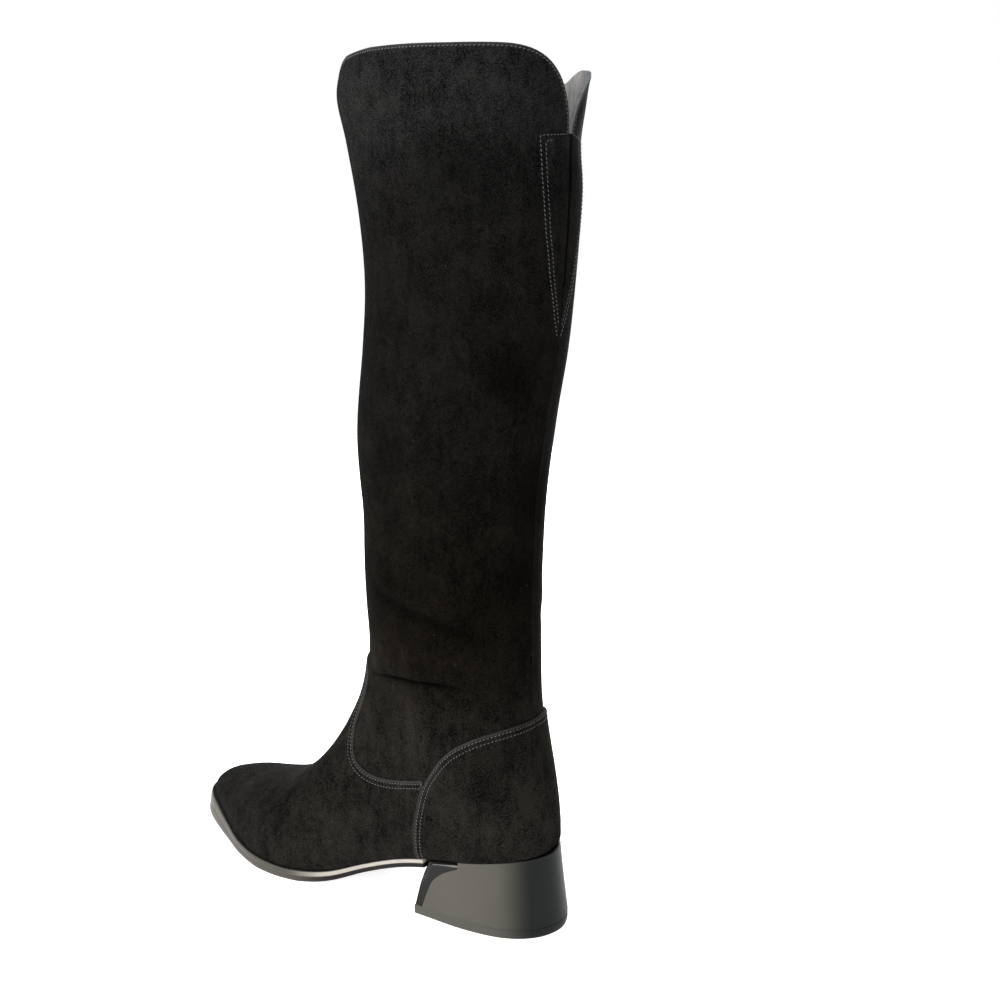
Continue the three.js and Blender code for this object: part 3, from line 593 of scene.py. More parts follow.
def makeSuede():
    finish = Finish("blackSuede")
    tone = finish.attribute("tone")
    worn = finish.attribute("worn")
    cloud = finish.noise(26, 3, 0.6)
    nap = finish.noise(6.5, 4, 0.6, (1, 1, 0.6))
    fibre = finish.noise(0.6, 2, 0.6)
    tuft = finish.noise(2.1, 3, 0.65, (1, 1, 0.7))
    fleck = finish.node("ShaderNodeTexVoronoi", None, {"Vector": finish.place(), "Scale": 1 / 9})
    fleck = (1 - finish.clamped(fleck * 26)) * (finish.noise(31, 1) > 0.56)
    mottle = 0.5 * (cloud - 0.5) + 0.55 * (nap - 0.5) + 0.4 * (tuft - 0.5) + 1.5 * (fibre - 0.5)
    # The tone layer carries the nap's own tone together with painted light and shade: darker dents and
    # crease troughs, lighter ridges
    amount = finish.clamped(tone * (1 + 3.9 * mottle))
    cool = finish.mix(amount, (0.0005, 0.0005, 0.0005), (0.0152, 0.0151, 0.0149))
    earth = finish.mix(amount, (0.0005, 0.0003, 0.0001), (0.0156, 0.0128, 0.009))
    colour = finish.mix(finish.attribute("warm"), cool, earth)
    # The worn layer lightens the cut and panel edges: partly wear and partly a painted highlight where the
    # edges catch light
    colour = finish.mix(finish.clamped(worn * (0.35 + 0.5 * fibre)), colour, (0.052, 0.052, 0.051))
    colour = finish.mix(finish.clamped(fleck * 0.5), colour, (0.12, 0.12, 0.115))
    grain = finish.bump(fibre * 0.6 + tuft * 0.8 + nap * 0.6, 0.2, 0.9)
    return finish.done(
        Base_Color=colour, Roughness=0.93 + 0.06 * (nap - 0.5), Normal=grain,
        Sheen_Weight=0.006, Sheen_Roughness=0.4, Sheen_Tint=(0.95, 0.95, 0.92), Specular_IOR_Level=0.015,
    )


def makeLeather(name, dark, light, rough, grainSize):
    finish = Finish(name)
    cloud = finish.noise(18, 3)
    fold = finish.noise(2.4, 4, 0.6, (1, 1, 0.12))
    pebble = finish.node("ShaderNodeTexVoronoi", None, {"Vector": finish.place(), "Scale": 1 / grainSize})
    amount = finish.clamped(0.5 + 0.6 * (cloud - 0.5) + 1.6 * (fold - 0.5))
    colour = finish.mix(amount, dark, light)
    grain = finish.bump(pebble * 0.4 + fold * 1.4, 0.3, 0.7)
    return finish.done(Base_Color=colour, Roughness=rough + 0.15 * (cloud - 0.5), Normal=grain)


def makeSatin(name, dark, light, rough, coat=0.0, depth=0.02, gleam=0.5):
    finish = Finish(name)
    cloud = finish.noise(14, 3)
    speck = finish.noise(0.8, 3, 0.65)
    scuff = finish.clamped((finish.noise(3.2, 5, 0.7, (1, 1, 3)) - 0.66) * 6)
    colour = finish.mix(finish.clamped(0.5 + 0.5 * (cloud - 0.5) + 0.3 * (speck - 0.5)), dark, light)
    colour = finish.mix(finish.clamped(scuff * 0.25), colour, tuple(min(1, 2.2 * v) for v in light))
    # Painted shade: the back layer darkens the heel round its back, standing in for the shade there
    colour = finish.mix(finish.attribute("back"), colour, tuple(0.15 * v for v in dark[::-1]))
    return finish.done(
        Base_Color=colour, Roughness=rough + 0.08 * (cloud - 0.5) + 0.12 * scuff,
        Normal=finish.bump(speck, depth, 0.5), Specular_IOR_Level=gleam,
        Coat_Weight=coat, Coat_Roughness=0.06,
    )


def makeSole():
    finish = Finish("soleEdge")
    waist = finish.attribute("waist")
    light = finish.attribute("light")
    cloud = finish.noise(12, 3)
    line = finish.noise(0.7, 4, 0.6, (0.12, 0.12, 1.6))
    amount = finish.clamped(0.5 + 0.5 * (cloud - 0.5) + 0.6 * (line - 0.5))
    dark = finish.mix(amount, (0.003, 0.0028, 0.0025), (0.01, 0.0095, 0.0085))
    side = finish.mix(amount, (0.036, 0.033, 0.028), (0.066, 0.06, 0.051))
    pale = finish.mix(amount, (0.26, 0.242, 0.21), (0.4, 0.376, 0.33))
    # Painted shade: the top face of the edge, where it meets the upper, keeps the dark colour, and the side
    # below takes the lighter one
    colour = finish.mix(finish.clamped(light), dark, side)
    # Painted highlight and shade: at the waist only the upper half of the edge is pale, where light catches
    # it, and the half below stays dark
    colour = finish.mix(finish.clamped(waist), colour, pale)
    return finish.done(
        Base_Color=colour, Roughness=0.4 + 0.2 * (line - 0.5),
        Normal=finish.bump(line, 0.06, 0.6), Specular_IOR_Level=0.1,
    )


def makeWoven(name, dark, light, pitch, rough=0.8):
    finish = Finish(name)
    bands = {"Vector": finish.place(), "Scale": 0.314 / pitch}
    along, across = [finish.node("ShaderNodeTexWave", {"bands_direction": axis}, bands) for axis in "ZX"]
    fuzz = finish.noise(0.5, 3, 0.6)
    weave = finish.clamped(along * 0.5 + across * 0.5)
    colour = finish.mix(finish.clamped(weave + 0.5 * (fuzz - 0.5)), dark, light)
    grain = finish.bump(weave + 0.4 * fuzz, 0.18, 0.7)
    return finish.done(Base_Color=colour, Roughness=rough + 0.1 * (fuzz - 0.5), Normal=grain)


def makeThread():
    finish = Finish("greyThread")
    twist = finish.noise(0.35, 2, 0.5, (1, 1, 2))
    fuzz = finish.noise(4, 2)
    amount = finish.clamped(twist * 0.7 + fuzz * 0.5 - 0.1)
    colour = finish.mix(amount, (0.02, 0.02, 0.02), (0.085, 0.085, 0.083))
    grain = finish.bump(twist, 0.08, 0.7)
    return finish.done(Base_Color=colour, Roughness=0.75 + 0.1 * (fuzz - 0.5), Normal=grain)


def makeSilver():
    finish = Finish("antiqueSilver")
    brush = finish.noise(0.5, 4, 0.6, (1, 1, 0.06))
    tarnish = finish.noise(2.6, 4, 0.65)
    colour = finish.mix(finish.clamped(tarnish * 1.5 - 0.35), (0.22, 0.205, 0.18), (0.66, 0.64, 0.6))
    return finish.done(
        Base_Color=colour, Roughness=0.26 + 0.22 * (brush - 0.5) + 0.16 * (tarnish - 0.5),
        Metallic=1.0, Normal=finish.bump(brush, 0.04, 0.6),
    )


suede = makeSuede()
lining = makeLeather("liningLeather", (0.05, 0.049, 0.047), (0.36, 0.354, 0.344), 0.55, 1.1)
cutEdge = makeLeather("cutEdge", (0.1, 0.105, 0.112), (0.24, 0.25, 0.262), 0.7, 0.7)
insoleLeather = makeLeather("insoleLeather", (0.12, 0.105, 0.09), (0.26, 0.235, 0.205), 0.5, 1.3)
thread = makeThread()
soleFinish = makeSole()
heelGloss = makeSatin("heelGloss", (0.002, 0.0018, 0.0016), (0.005, 0.0046, 0.0042), 0.1, 0.0, 0.002, 0.2)
heelSatin = makeSatin("heelSatin", (0.05, 0.0475, 0.04), (0.07, 0.0665, 0.0565), 0.42, gleam=0.1)
tipFinish = makeSatin("heelTip", (0.046, 0.0437, 0.037), (0.066, 0.063, 0.0535), 0.48, gleam=0.1)
elastic = makeWoven("ribbedElastic", (0.007, 0.007, 0.0073), (0.044, 0.044, 0.047), 0.9)
tapeWeave = makeWoven("zipTape", (0.004, 0.004, 0.0045), (0.02, 0.02, 0.022), 0.7)
coilNylon = makeSatin("coilNylon", (0.05, 0.051, 0.053), (0.13, 0.132, 0.136), 0.26)
silver = makeSilver()
print("finishes made")

# Upper: one wall for foot and shaft, cut by the notch and slit at the back and the zip's slot
upperSizes = {
    "rowSpans": [(0, 6, 16), (6, 15, 80), (15, 24, 84), (24, 32.3, 104)],
    "columns": 136,
    "backColumns": [0.0008, 0.0016, 0.0026, 0.004, 0.006],
    "collar": 459,
    "collarLine": [
        (-12, 0), (30, 0.5), (50, 1.3), (75, 2.1), (98, 1.4),
        (107, -0.7), (113, -3.6), (118, -7.4), (126, -15),
    ],
    "innerBackDrop": 2.6,
    "innerFrontDrop": 4.5,
    "innerDip": 6.0,
    "dipAt": 23,
    "dipSpread": 9,
    "notchFoot": 421,
    "notchHalf": 36,
    "outerPower": 2.15,
    "innerPower": 1.5,
    "slitEnd": 324,
    "slitHalf": 1.5,
    "slitEndHalf": 0.4,
    "backOnly": 40,
    "creaseLines": [-1.6, -0.7, 0, 0.7, 1.6],
    "wornAndHighlightReach": 0.7,
    "goreTone": 0.06,
}
zipLine = {
    "path": [(44, 459), (45, 410), (48, 345), (53, 270), (60, 210), (73, 152), (83, 122), (87, 108)],
    "slotHalf": 5.2,
    "slotTo": 0.98,
    "samples": 700,
}
zipTrack = splinePoints(zipLine["path"], zipLine["samples"])
zipWay = np.concatenate([[0], np.cumsum(np.linalg.norm(np.diff(zipTrack, axis=0), axis=1))])
zipShare = zipWay / zipWay[-1]


def cutField(points):
    x, y, z = points.T
    sizes = upperSizes
    side = np.abs(y)
    lift = np.interp(x, *np.array(sizes["collarLine"]).T)
    backDrop = sizes["innerBackDrop"] * smoothStep(-y, 4, 20) * smoothStep(-x, -44, -8)
    frontDrop = sizes["innerFrontDrop"] * smoothStep(-y, -4, 14) * smoothStep(x, 62, 104)
    dip = sizes["innerDip"] * smoothStep(-y, 12, 30) * bell(x - sizes["dipAt"], sizes["dipSpread"])
    collar = sizes["collar"] + lift - backDrop - frontDrop - dip
    rise = collar - sizes["notchFoot"]
    shoulder = sizes["notchHalf"] + sizes["slitHalf"]
    top = (collar - z) * sizes["notchHalf"] / rise
    inward = np.maximum(shoulder - side, 0) / sizes["notchHalf"]
    upward = np.maximum(z - sizes["notchFoot"], 0) / rise
    power = np.where(y > 0, sizes["outerPower"], sizes["innerPower"])
    notch = (1 - (inward**power + upward**power) ** (1 / power)) * sizes["notchHalf"]
    share = np.clip((z - sizes["slitEnd"]) / (sizes["notchFoot"] - sizes["slitEnd"]), 0, 1)
    half = sizes["slitEndHalf"] + (sizes["slitHalf"] - sizes["slitEndHalf"]) * share
    slitFoot = np.hypot(side, sizes["slitEnd"] - z) - sizes["slitEndHalf"]
    slit = np.where(z > sizes["slitEnd"], side - half, slitFoot)
    back = np.where(z > sizes["notchFoot"], np.where(side < shoulder, notch, top), np.minimum(slit, top))
    return np.where(x < sizes["backOnly"], back, top)


def zipField(points):
    field = np.full(len(points), 90.0)
    track = zipTrack[zipShare <= zipLine["slotTo"]]
    low, high = track.min(0) - 16, track.max(0) + 16
    x, y, z = points.T
    near = np.where((y < 0) & (x > low[0]) & (x < high[0]) & (z > low[1]))[0]
    field[near] = nearestSample(points[near][:, [0, 2]], track)[0] - zipLine["slotHalf"]
    return field


# Elastic inset behind the back slit: its sewn outline, half width by height
gore = {
    "top": 418.4,
    "halfByHeight": [
        (318, 0.0), (321, 1.0), (331, 5.0), (351, 11.0), (375, 16.0), (398, 19.0), (420, 21.0),
    ],
    "rows": [0, 2.6],
    "secondRowTop": 416.6,
    "tilt": 2.4,
    "raise": 0.5,
    "step": [-0.6, 0.0, 0.8],  # lines over which the upper rises above it
    "topHalf": 21,
    "endHalf": 4,
    "end": 318,
    "ribs": 0.25,
    "ribPitch": 1.7,
    "behind": 0.8,
    "thick": 1.2,
}


def goreField(points):
    x, y, z = points.T
    heights, halves = np.array(gore["halfByHeight"]).T
    inside = np.interp(z, heights, halves, left=-30) - np.abs(y)
    below = gore["top"] + gore["tilt"] * np.clip(1 - np.abs(y) / gore["topHalf"], 0, 1) - z
    return np.where((x < upperSizes["backOnly"]) & (z > heights[0]), np.minimum(inside, below), -30)


# Tone of the nap by place, partly the nap's own tone and partly painted light and shade: a run down the
# boot, then patches
napToneAndPaintedLight = {
    # The run by height is partly painted light and shade: it sets how bright each height of the boot looks
    # under these lamps
    "byHeight": [
        (0, 0.48), (60, 0.46), (110, 0.4), (138, 0.27), (165, 0.17), (205, 0.17), (260, 0.18), (340, 0.2),
        (395, 0.24), (440, 0.48),
    ],
    "warmByHeight": [
        (0, 0.5), (60, 0.55), (110, 0.6), (165, 1.0), (230, 0.75), (330, 0.35), (420, 0.1), (459, 0),
    ],
    # How much darker each crease's trough is painted, as painted shade
    "creases": (0.3, 0.1, 0.16, 0.16, 0.08, 0.06),
    "creaseStart": 0.12,
    "toeFrom": 160,
    "toeTo": 220,
    "toeCool": 0.6,
    "patches": [  # middle, reach, amount
        # The first three darken the dents of the leg and the fourth lightens its ridge, as painted shade
        # and highlight; the strong one at the back of the counter is a painted highlight, and the long one
        # up the back is painted light
        ((7, 23, 304), (16, 14, 18), -0.16),
        ((10, 5, 238), (12, 16, 18), -0.14),
        ((13, 9, 196), (12, 15, 16), -0.12),
        ((58, 45, 262), (4, 12, 46), 0.08),
        ((30, 40, 405), (14, 14, 12), -0.14),
        ((104, 30, 140), (16, 14, 12), 0.1),
        ((60, 36, 100), (26, 14, 18), 0.06),
        ((175, 20, 46), (20, 20, 16), 0.02),
        ((215, 10, 38), (24, 24, 14), 0.16),
        ((150, 36, 30), (30, 14, 18), 0.06),
        ((20, 26, 84), (14, 14, 12), -0.12),
        ((38, 34, 62), (12, 10, 14), 0.08),
        ((2, 14, 74), (12, 12, 22), 0.56),
        ((8, 20, 260), (14, 16, 120), 0.06),
        ((0, 8, 56), (16, 24, 12), 0.1),
    ],
}


def toneAndPaintedLightAt(points):
    heights, tones = np.array(napToneAndPaintedLight["byHeight"]).T
    tone = np.interp(points[:, 2], heights, tones)
    for middle, reach, amount in napToneAndPaintedLight["patches"]:
        tone += amount * mound(points, middle, reach)
    # Painted shade: darker along each crease's trough, where shade falls
    for samples, (_, _, width, *_), depth in zip(creasePaths, folds["creases"], napToneAndPaintedLight["creases"]):
        field, level, share = creaseField(points, samples)
        tone -= depth * creaseFade(share, level, napToneAndPaintedLight["creaseStart"]) * bell(field, width)
    return tone


def warmAt(points):
    heights, warmth = np.array(napToneAndPaintedLight["warmByHeight"]).T
    toe = smoothStep(points[:, 0], napToneAndPaintedLight["toeFrom"], napToneAndPaintedLight["toeTo"])
    return np.interp(points[:, 2], heights, warmth) * (1 - napToneAndPaintedLight["toeCool"] * toe)


# The suede's layers, the same on both faces of a wall
def napLayers(points, tone, worn):
    named = {"tone": tone, "worn": worn, "warm": warmAt(points[: len(tone)])}
    return {name: np.tile(values, 2) for name, values in named.items()}


rowPlaces = np.unique(np.concatenate([np.linspace(a, b, n + 1) for a, b, n in upperSizes["rowSpans"]]))
evenColumns = np.linspace(0, 1, upperSizes["columns"] + 1)
backColumns = np.array(upperSizes["backColumns"])
columnPlaces = np.unique(np.concatenate([evenColumns, backColumns, 1 - backColumns]))


def makeUpper():
    data, tris = gridSheet(rowPlaces, columnPlaces)
    bare = lastPoint(data[:, 0], data[:, 1])
    fields = [cutField(bare), zipField(bare), goreField(bare)]
    data = np.column_stack([data] + fields + [creaseField(bare, samples)[0] for samples in creasePaths])
    for column in range(5, 5 + len(creasePaths)):
        data, tris = splitLevels(data, tris, column, upperSizes["creaseLines"])
    data, tris = splitLevels(data, tris, 4, gore["step"])
    for column in (2, 3):
        data, tris = cutAt(data, tris, column)
    u, v = data[:, 0], data[:, 1]
    step = smoothStep(data[:, 4], gore["step"][0], gore["step"][-1])
    raised = gore["raise"] * step
    outer, inner = skinPoint(u, v, raised), skinPoint(u, v, -last["wall"])
    points, faces, part, first = thickSheet(outer, inner, tris)
    x, y, z = points[faces].mean(1).T
    pale = (z > upperSizes["notchFoot"]) & (y < 0) & (x < upperSizes["backOnly"])
    part = np.where((part == 2) & ~pale, 0, part)
    tone = toneAndPaintedLightAt(lastPoint(u[first], v[first])) + upperSizes["goreTone"] * step[first]
    worn = np.exp(-data[first, 2] / upperSizes["wornAndHighlightReach"])
    worn = worn * (points[: len(first), 2] > upperSizes["notchFoot"])
    layers = napLayers(points, tone, worn)
    addMesh("upperShell", points, faces, [suede, lining, cutEdge], "boot", ["upper"], part, layers)
    return data, tris


upperData, upperTris = makeUpper()
print("upper made,", len(upperTris), "triangles a face")

# Vamp and counter: raised panels with rounded edges, drawn in the side view (forward, height)
panels = {
    "topRow": 23,
    "gap": 0.3,
    "sunk": -0.2,
    "inner": -0.8,
    "bevel": 1.2,
    "bevelLines": [0.12, 0.4, 0.75, 1.2],
    "vampOver": 1.0,
    "counterOver": 1.35,
    "tuck": 0.55,
    "worn": (0.9, 0.55, 0.5),  # amount, distance in from the edge, spread
    "counterEdge": [
        (67, 25), (65.5, 48), (63, 63), (58, 79), (50, 91.5),
        (41, 102), (29, 110.5), (17, 115.5), (4, 118), (-14, 118.8),
    ],
    "vampEdge": [
        (134, 138), (118, 137), (110.5, 131), (110.5, 121), (114, 110), (117, 98),
        (115, 86), (109, 78.5), (98, 75), (85, 75.3), (70, 78.5), (46, 85),
    ],
    "edgeSamples": 260,
}


def polygonInside(places, corners):
    x, z = places.T
    inside = np.zeros(len(places), bool)
    for (x0, z0), (x1, z1) in zip(corners, np.roll(corners, -1, 0)):
        if z0 == z1:
            continue
        crosses = (z0 > z) != (z1 > z)
        inside ^= crosses & (x < (x1 - x0) * (z - z0) / (z1 - z0) + x0)
    return inside


def sideField(points, edge, closing):
    samples = splinePoints(edge, panels["edgeSamples"])
    places = points[:, [0, 2]]
    gap = nearestSample(places, samples)[0]
    inside = polygonInside(places, np.concatenate([samples, np.array(closing, float)]))
    return np.where(inside, gap, -gap)


def panelData():
    data, tris = gridSheet(rowPlaces[rowPlaces <= panels["topRow"]], columnPlaces)
    bare = lastPoint(data[:, 0], data[:, 1])
    vamp = sideField(bare, panels["vampEdge"], [(46, -5), (300, -5), (300, 138)])
    counter = sideField(bare, panels["counterEdge"], [(-40, 118.8), (-40, 25)])
    return np.column_stack([data, vamp, counter, np.minimum(vamp, panels["tuck"] - counter)]), tris


def makePanel(name, data, tris, column, over, replaced):
    data, tris = cutAt(data, tris, column)
    data, tris = splitLevels(data, tris, column, panels["bevelLines"])
    u, v, edge = data[:, 0], data[:, 1], np.maximum(data[:, column], 0)
    share = np.minimum(edge / panels["bevel"], 1)
    rise = np.sqrt(1 - (1 - share) ** 2)
    outward = panels["sunk"] + (panels["gap"] + over - panels["sunk"]) * rise
    outer, inner = skinPoint(u, v, outward), skinPoint(u, v, np.full(len(u), panels["inner"]))
    points, faces, _, first = thickSheet(outer, inner, tris)
    tone = toneAndPaintedLightAt(lastPoint(u[first], v[first]))
    # Wear and painted highlight: a lighter line just in from the panel's edge
    amount, inset, spread = panels["worn"]
    layers = napLayers(points, tone, amount * bell(edge[first] - inset, spread))
    addMesh(name, points, faces, [suede], "boot", [replaced], None, layers, 60)
    return data, tris


sheetData, sheetTris = panelData()
vampData, vampTris = makePanel("vampPanel", sheetData, sheetTris, 4, panels["vampOver"], "vamp")
counterOver = panels["counterOver"]
counterData, counterTris = makePanel("counterPanel", sheetData, sheetTris, 3, counterOver, "counter")
print("vamp and counter made,", len(vampTris), len(counterTris))

# Stitches: small capsules along level lines of the sheets
stitch = {
    "pitch": 2.15,
    "length": 1.4,
    "width": 0.46,
    "height": 0.42,
    "slant": 0.3,
    "rings": [(-0.5, 0.3), (-0.4, 0.8), (-0.15, 1.0), (0.15, 1.0), (0.4, 0.8), (0.5, 0.3)],
    "round": 6,
    "vampRows": (1.7, 4.3),  # rows are in mm in from the edge they follow
    "counterRows": (1.7, 4.2),
    "collarRow": 1.3,
    "zipRows": (2.2, 4.8),
    "zipEnd": 104,
    "lift": 0.02,
    "goreLift": 0.45,
    "goreMiddle": 1.6,
    "half": 0.6,
}


def capsules(middles, along, normals, length, width, height):
    along = unit(along)
    across = unit(np.cross(normals, along))
    along = along * math.cos(stitch["slant"]) + across * math.sin(stitch["slant"])
    across = unit(np.cross(normals, along))
    upward = np.cross(along, across)
    points = []
    for share, size in stitch["rings"]:
        for k in range(stitch["round"]):
            angle = 2 * math.pi * k / stitch["round"]
            wide, high = width / 2 * size * math.cos(angle), height / 2 * size * math.sin(angle)
            points.append(middles + along * length * share + (across * wide + upward * high))
    points = np.stack(points, 1)
    count, rings = stitch["round"], len(stitch["rings"])
    faces = []
    for ring in range(rings - 1):
        for k in range(count):
            a, b = ring * count + k, ring * count + (k + 1) % count
            faces.append((a, b, b + count, a + count))
    caps = [tuple(range(count))[::-1], tuple(range((rings - 1) * count, rings * count))]
    size = rings * count
    joined = [tuple(c + base * size for c in face) for base in range(len(middles)) for face in faces + caps]
    return points.reshape(-1, 3), joined


def sewLine(line, lift, keep=None):
    places = skinPoint(line[:, 0], line[:, 1], np.full(len(line), lift))
    gaps = np.linalg.norm(np.diff(places, axis=0), axis=1)
    way = np.concatenate([[0], np.cumsum(gaps)])
    if way[-1] < 2 * stitch["pitch"]:
        return None
    stops = np.arange(stitch["pitch"] / 2, way[-1] - stitch["pitch"] / 2, stitch["pitch"])
    at = lambda spots: np.stack([np.interp(spots, way, places[:, k]) for k in range(3)], 1)
    middles = at(stops)
    along = at(stops + stitch["half"]) - at(stops - stitch["half"])
    u, v = np.interp(stops, way, line[:, 0]), np.interp(stops, way, line[:, 1])
    normals = lastNormal(u, v)
    if keep is not None:
        chosen = keep(middles)
        middles, along, normals = middles[chosen], along[chosen], normals[chosen]
    return middles, along, normals


def sewRows(name, sheet, rows, keep=None):
    data, tris = sheet
    found = []
    for column, level, lift in rows:
        found += [sewLine(line, lift, keep) for line in levelLines(data, tris, column, level)]
    found = [row for row in found if row is not None and len(row[0])]
    middles, along, normals = [np.concatenate(group) for group in zip(*found)]
    points, faces = capsules(middles, along, normals, stitch["length"], stitch["width"], stitch["height"])
    addMesh(name, points, faces, [thread], "boot", sharp=70)
    print(name, len(middles), "stitches")


def rowsOf(column, levels, lift):
    return [(column, level, lift) for level in levels]


def aboveNotch(places):
    return places[:, 2] > upperSizes["notchFoot"] - 1


def aboveZipEnd(places):
    return places[:, 2] > stitch["zipEnd"]


def offMiddle(places):
    heights, halves = np.array(gore["halfByHeight"]).T
    outline = np.interp(places[:, 2], heights, halves) - np.abs(places[:, 1])
    second = outline > gore["rows"][1] / 2
    lower = goreField(places) < gore["rows"][1] / 2
    aside = np.abs(places[:, 1]) > stitch["goreMiddle"]
    return aside & (~second | lower | (places[:, 2] < gore["secondRowTop"]))


upperSheet = (upperData, upperTris)
vampTop = panels["gap"] + panels["vampOver"]
counterTop = panels["gap"] + counterOver
sewRows("vampStitches", (vampData, vampTris), rowsOf(2, stitch["vampRows"], vampTop))
sewRows("counterStitches", (counterData, counterTris), rowsOf(3, stitch["counterRows"], counterTop))
sewRows("collarStitches", upperSheet, [(2, stitch["collarRow"], stitch["lift"])], aboveNotch)
sewRows("zipStitches", upperSheet, rowsOf(3, stitch["zipRows"], stitch["lift"]), aboveZipEnd)
sewRows("goreStitches", upperSheet, rowsOf(4, gore["rows"], stitch["goreLift"]), offMiddle)


# Strips and closed rows of points
def stripFaces(rows, columns, closed=False):
    faces = []
    for i in range(rows - 1):
        for k in range(columns if closed else columns - 1):
            a, b = i * columns + k, i * columns + (k + 1) % columns
            faces.append((a, b, b + columns, a + columns))
    return faces


def solidStrip(outer, inner):
    rows, columns = outer.shape[:2]
    ring = np.concatenate([outer, inner[:, ::-1]], 1)
    count = 2 * columns
    faces = stripFaces(rows, count, True)
    for k in range(columns - 1):
        top = (rows - 1) * count
        faces.append((k + 1, k, count - 1 - k, count - 2 - k))
        faces.append((top + k, top + k + 1, top + count - 2 - k, top + count - 1 - k))
    return ring.reshape(-1, 3), faces


def underfoot(u, outer, outward, z):
    side = np.where(outer, blendRows("featherLat", u), blendRows("featherMed", u))
    edge = np.stack([blendRows("bottomX", u), side, np.zeros_like(side)], -1)
    place = edge + planNormal(u, outer) * np.asarray(outward)[..., None]
    place[..., 2] = z
    return place


# Outsole with its welt, thin at the waist
sole = {
    "endRow": 10.7,
    "rows": 150,
    "foreThick": 7.2,
    "waistThick": 5.6,
    "foreRim": 3.3,
    "waistRim": 1.6,
    "thinFrom": 7,
    "thinTo": 9.5,
    "toeFlare": 3.2,
    "flareRows": (2.4, 5.6),
    "toeDrop": 5.0,
    "toeRows": (1.2, 5.4),
    "lap": 1.3,
    "lapRows": (5.0, 8.0),
    "waistHighlightRows": (6.9, 8.2),
    "waistHighlightLip": (0.42, 0.5),
    "shadedTopLine": (0.0, 0.06),
    "gap": 0.3,
    "edge": [  # share of the thickness down, distance in from the rim
        (-0.04, 3.6), (0.0, 0.55), (0.03, 0.2), (0.09, 0.0), (0.25, 0.0), (0.38, 0.05), (0.43, 0.28),
        (0.47, 0.72), (0.52, 0.6), (0.6, 0.52), (0.78, 0.55), (0.9, 0.75), (0.97, 1.15), (1.0, 1.9),
    ],
    "across": 12,
    "bunching": 1.25,  # rows set closer towards the toe
}


def makeOutsole():
    u = np.linspace(0, 1, sole["rows"]) ** sole["bunching"] * sole["endRow"]
    waist = smoothStep(u, sole["thinFrom"], sole["thinTo"])
    thick = sole["foreThick"] + (sole["waistThick"] - sole["foreThick"]) * waist
    rim = sole["foreRim"] + (sole["waistRim"] - sole["foreRim"]) * waist
    flare = sole["toeFlare"] * (1 - smoothStep(u, *sole["flareRows"]))
    lap = sole["lap"] * (1 - smoothStep(u, *sole["lapRows"]))
    thick = thick + lap + sole["toeDrop"] * (1 - smoothStep(u, *sole["toeRows"]))
    top = blendRows("bottomZ", u) - sole["gap"] + lap
    lat, med = [], []
    for down, inward in sole["edge"]:
        z = np.maximum(0, top - down * thick)
        out = rim - inward + flare * max(down, 0)
        lat.append(underfoot(u, np.ones(len(u), bool), out, z))
        med.append(underfoot(u, np.zeros(len(u), bool), out, z))
    between = np.linspace(0, 1, sole["across"] + 1)[1:-1]
    under = [lat[-1] * (1 - t) + med[-1] * t for t in between]
    over = [med[0] * (1 - t) + lat[0] * t for t in between]
    loops = np.stack(lat + under + med[::-1] + over, 1)
    rows, columns = loops.shape[:2]
    faces = stripFaces(rows, columns, True)
    end = (rows - 1) * columns
    half = len(lat)
    for k in range(half - 1):
        a, b = end + k, end + k + 1
        c, d = end + half + len(under) + half - 2 - k, end + half + len(under) + half - 1 - k
        faces.append((a, b, c, d))
    edgeDown = np.array([down for down, _ in sole["edge"]])
    # Painted highlight and shade at the waist: the pale band covers only the upper half of the edge
    back = smoothStep(u, *sole["waistHighlightRows"])
    # Painted shade: the top face where the sole meets the upper stays dark
    upper = smoothStep(edgeDown, *sole["shadedTopLine"])
    lip = upper * (1 - smoothStep(edgeDown, *sole["waistHighlightLip"]))

    def around(side, middle):
        return np.concatenate([side, np.full(len(under), middle), side[::-1], np.zeros(len(over))])

    pale = np.outer(back, around(lip, 0.0)).ravel()
    light = np.outer(1 - back, around(upper, 1.0)).ravel()
    turned = [face[::-1] for face in faces]
    addMesh("outsoleBoard", loops.reshape(-1, 3), turned, [soleFinish], "boot", ["outsole"],
            layers={"waist": pale, "light": light}, sharp=34)


makeOutsole()

# Block heel: gloss core, satin cover with an arched front edge, and the tip under both
heel = {
    "breast": 10.75,
    "rim": 1.9,
    "backRim": 4.2,
    "backFrom": 12.5,
    "back": -10.4,
    "front": 66.1,
    "half": 33.2,
    "tip": 5.5,
    "gap": 0.3,
    "cover": 1.0,
    "flare": 1.15,
    "columns": 150,
    "levels": 44,
    "coverEdge": [(39, 32.6), (44.5, 30.2), (51, 26), (56.5, 19.5), (61.5, 3)],
    "coverTop": (39.5, 52),
    "bevel": 0.7,
    "bevelLines": [0.1, 0.3, 0.7],
    "paintedShadeTurns": (0.24, 0.385),
    "round": 4.0,
    "roundFrom": (34, 40),
    "fadeDown": (12, 27),
    "bunching": 1.35,
    "tipEdge": [(5.7, 0.3), (5.5, 0.08), (5.3, 0), (1.6, 0), (0.6, 0.25), (0, 1.0)],  # height, inset
}
heelRise = np.linspace(heel["breast"], heelRow, heel["columns"] + 1)
heelTurns = np.concatenate([heelRise, np.linspace(heelRow, heel["breast"], heel["columns"] + 1)[1:]])


def seatEdge(u, outer):
    backShare = smoothStep(u, heel["backFrom"], heelRow)
    return underfoot(u, outer, heel["rim"] + (heel["backRim"] - heel["rim"]) * backShare, 0)


seatAll = seatEdge(heelTurns, np.arange(len(heelTurns)) <= heel["columns"])


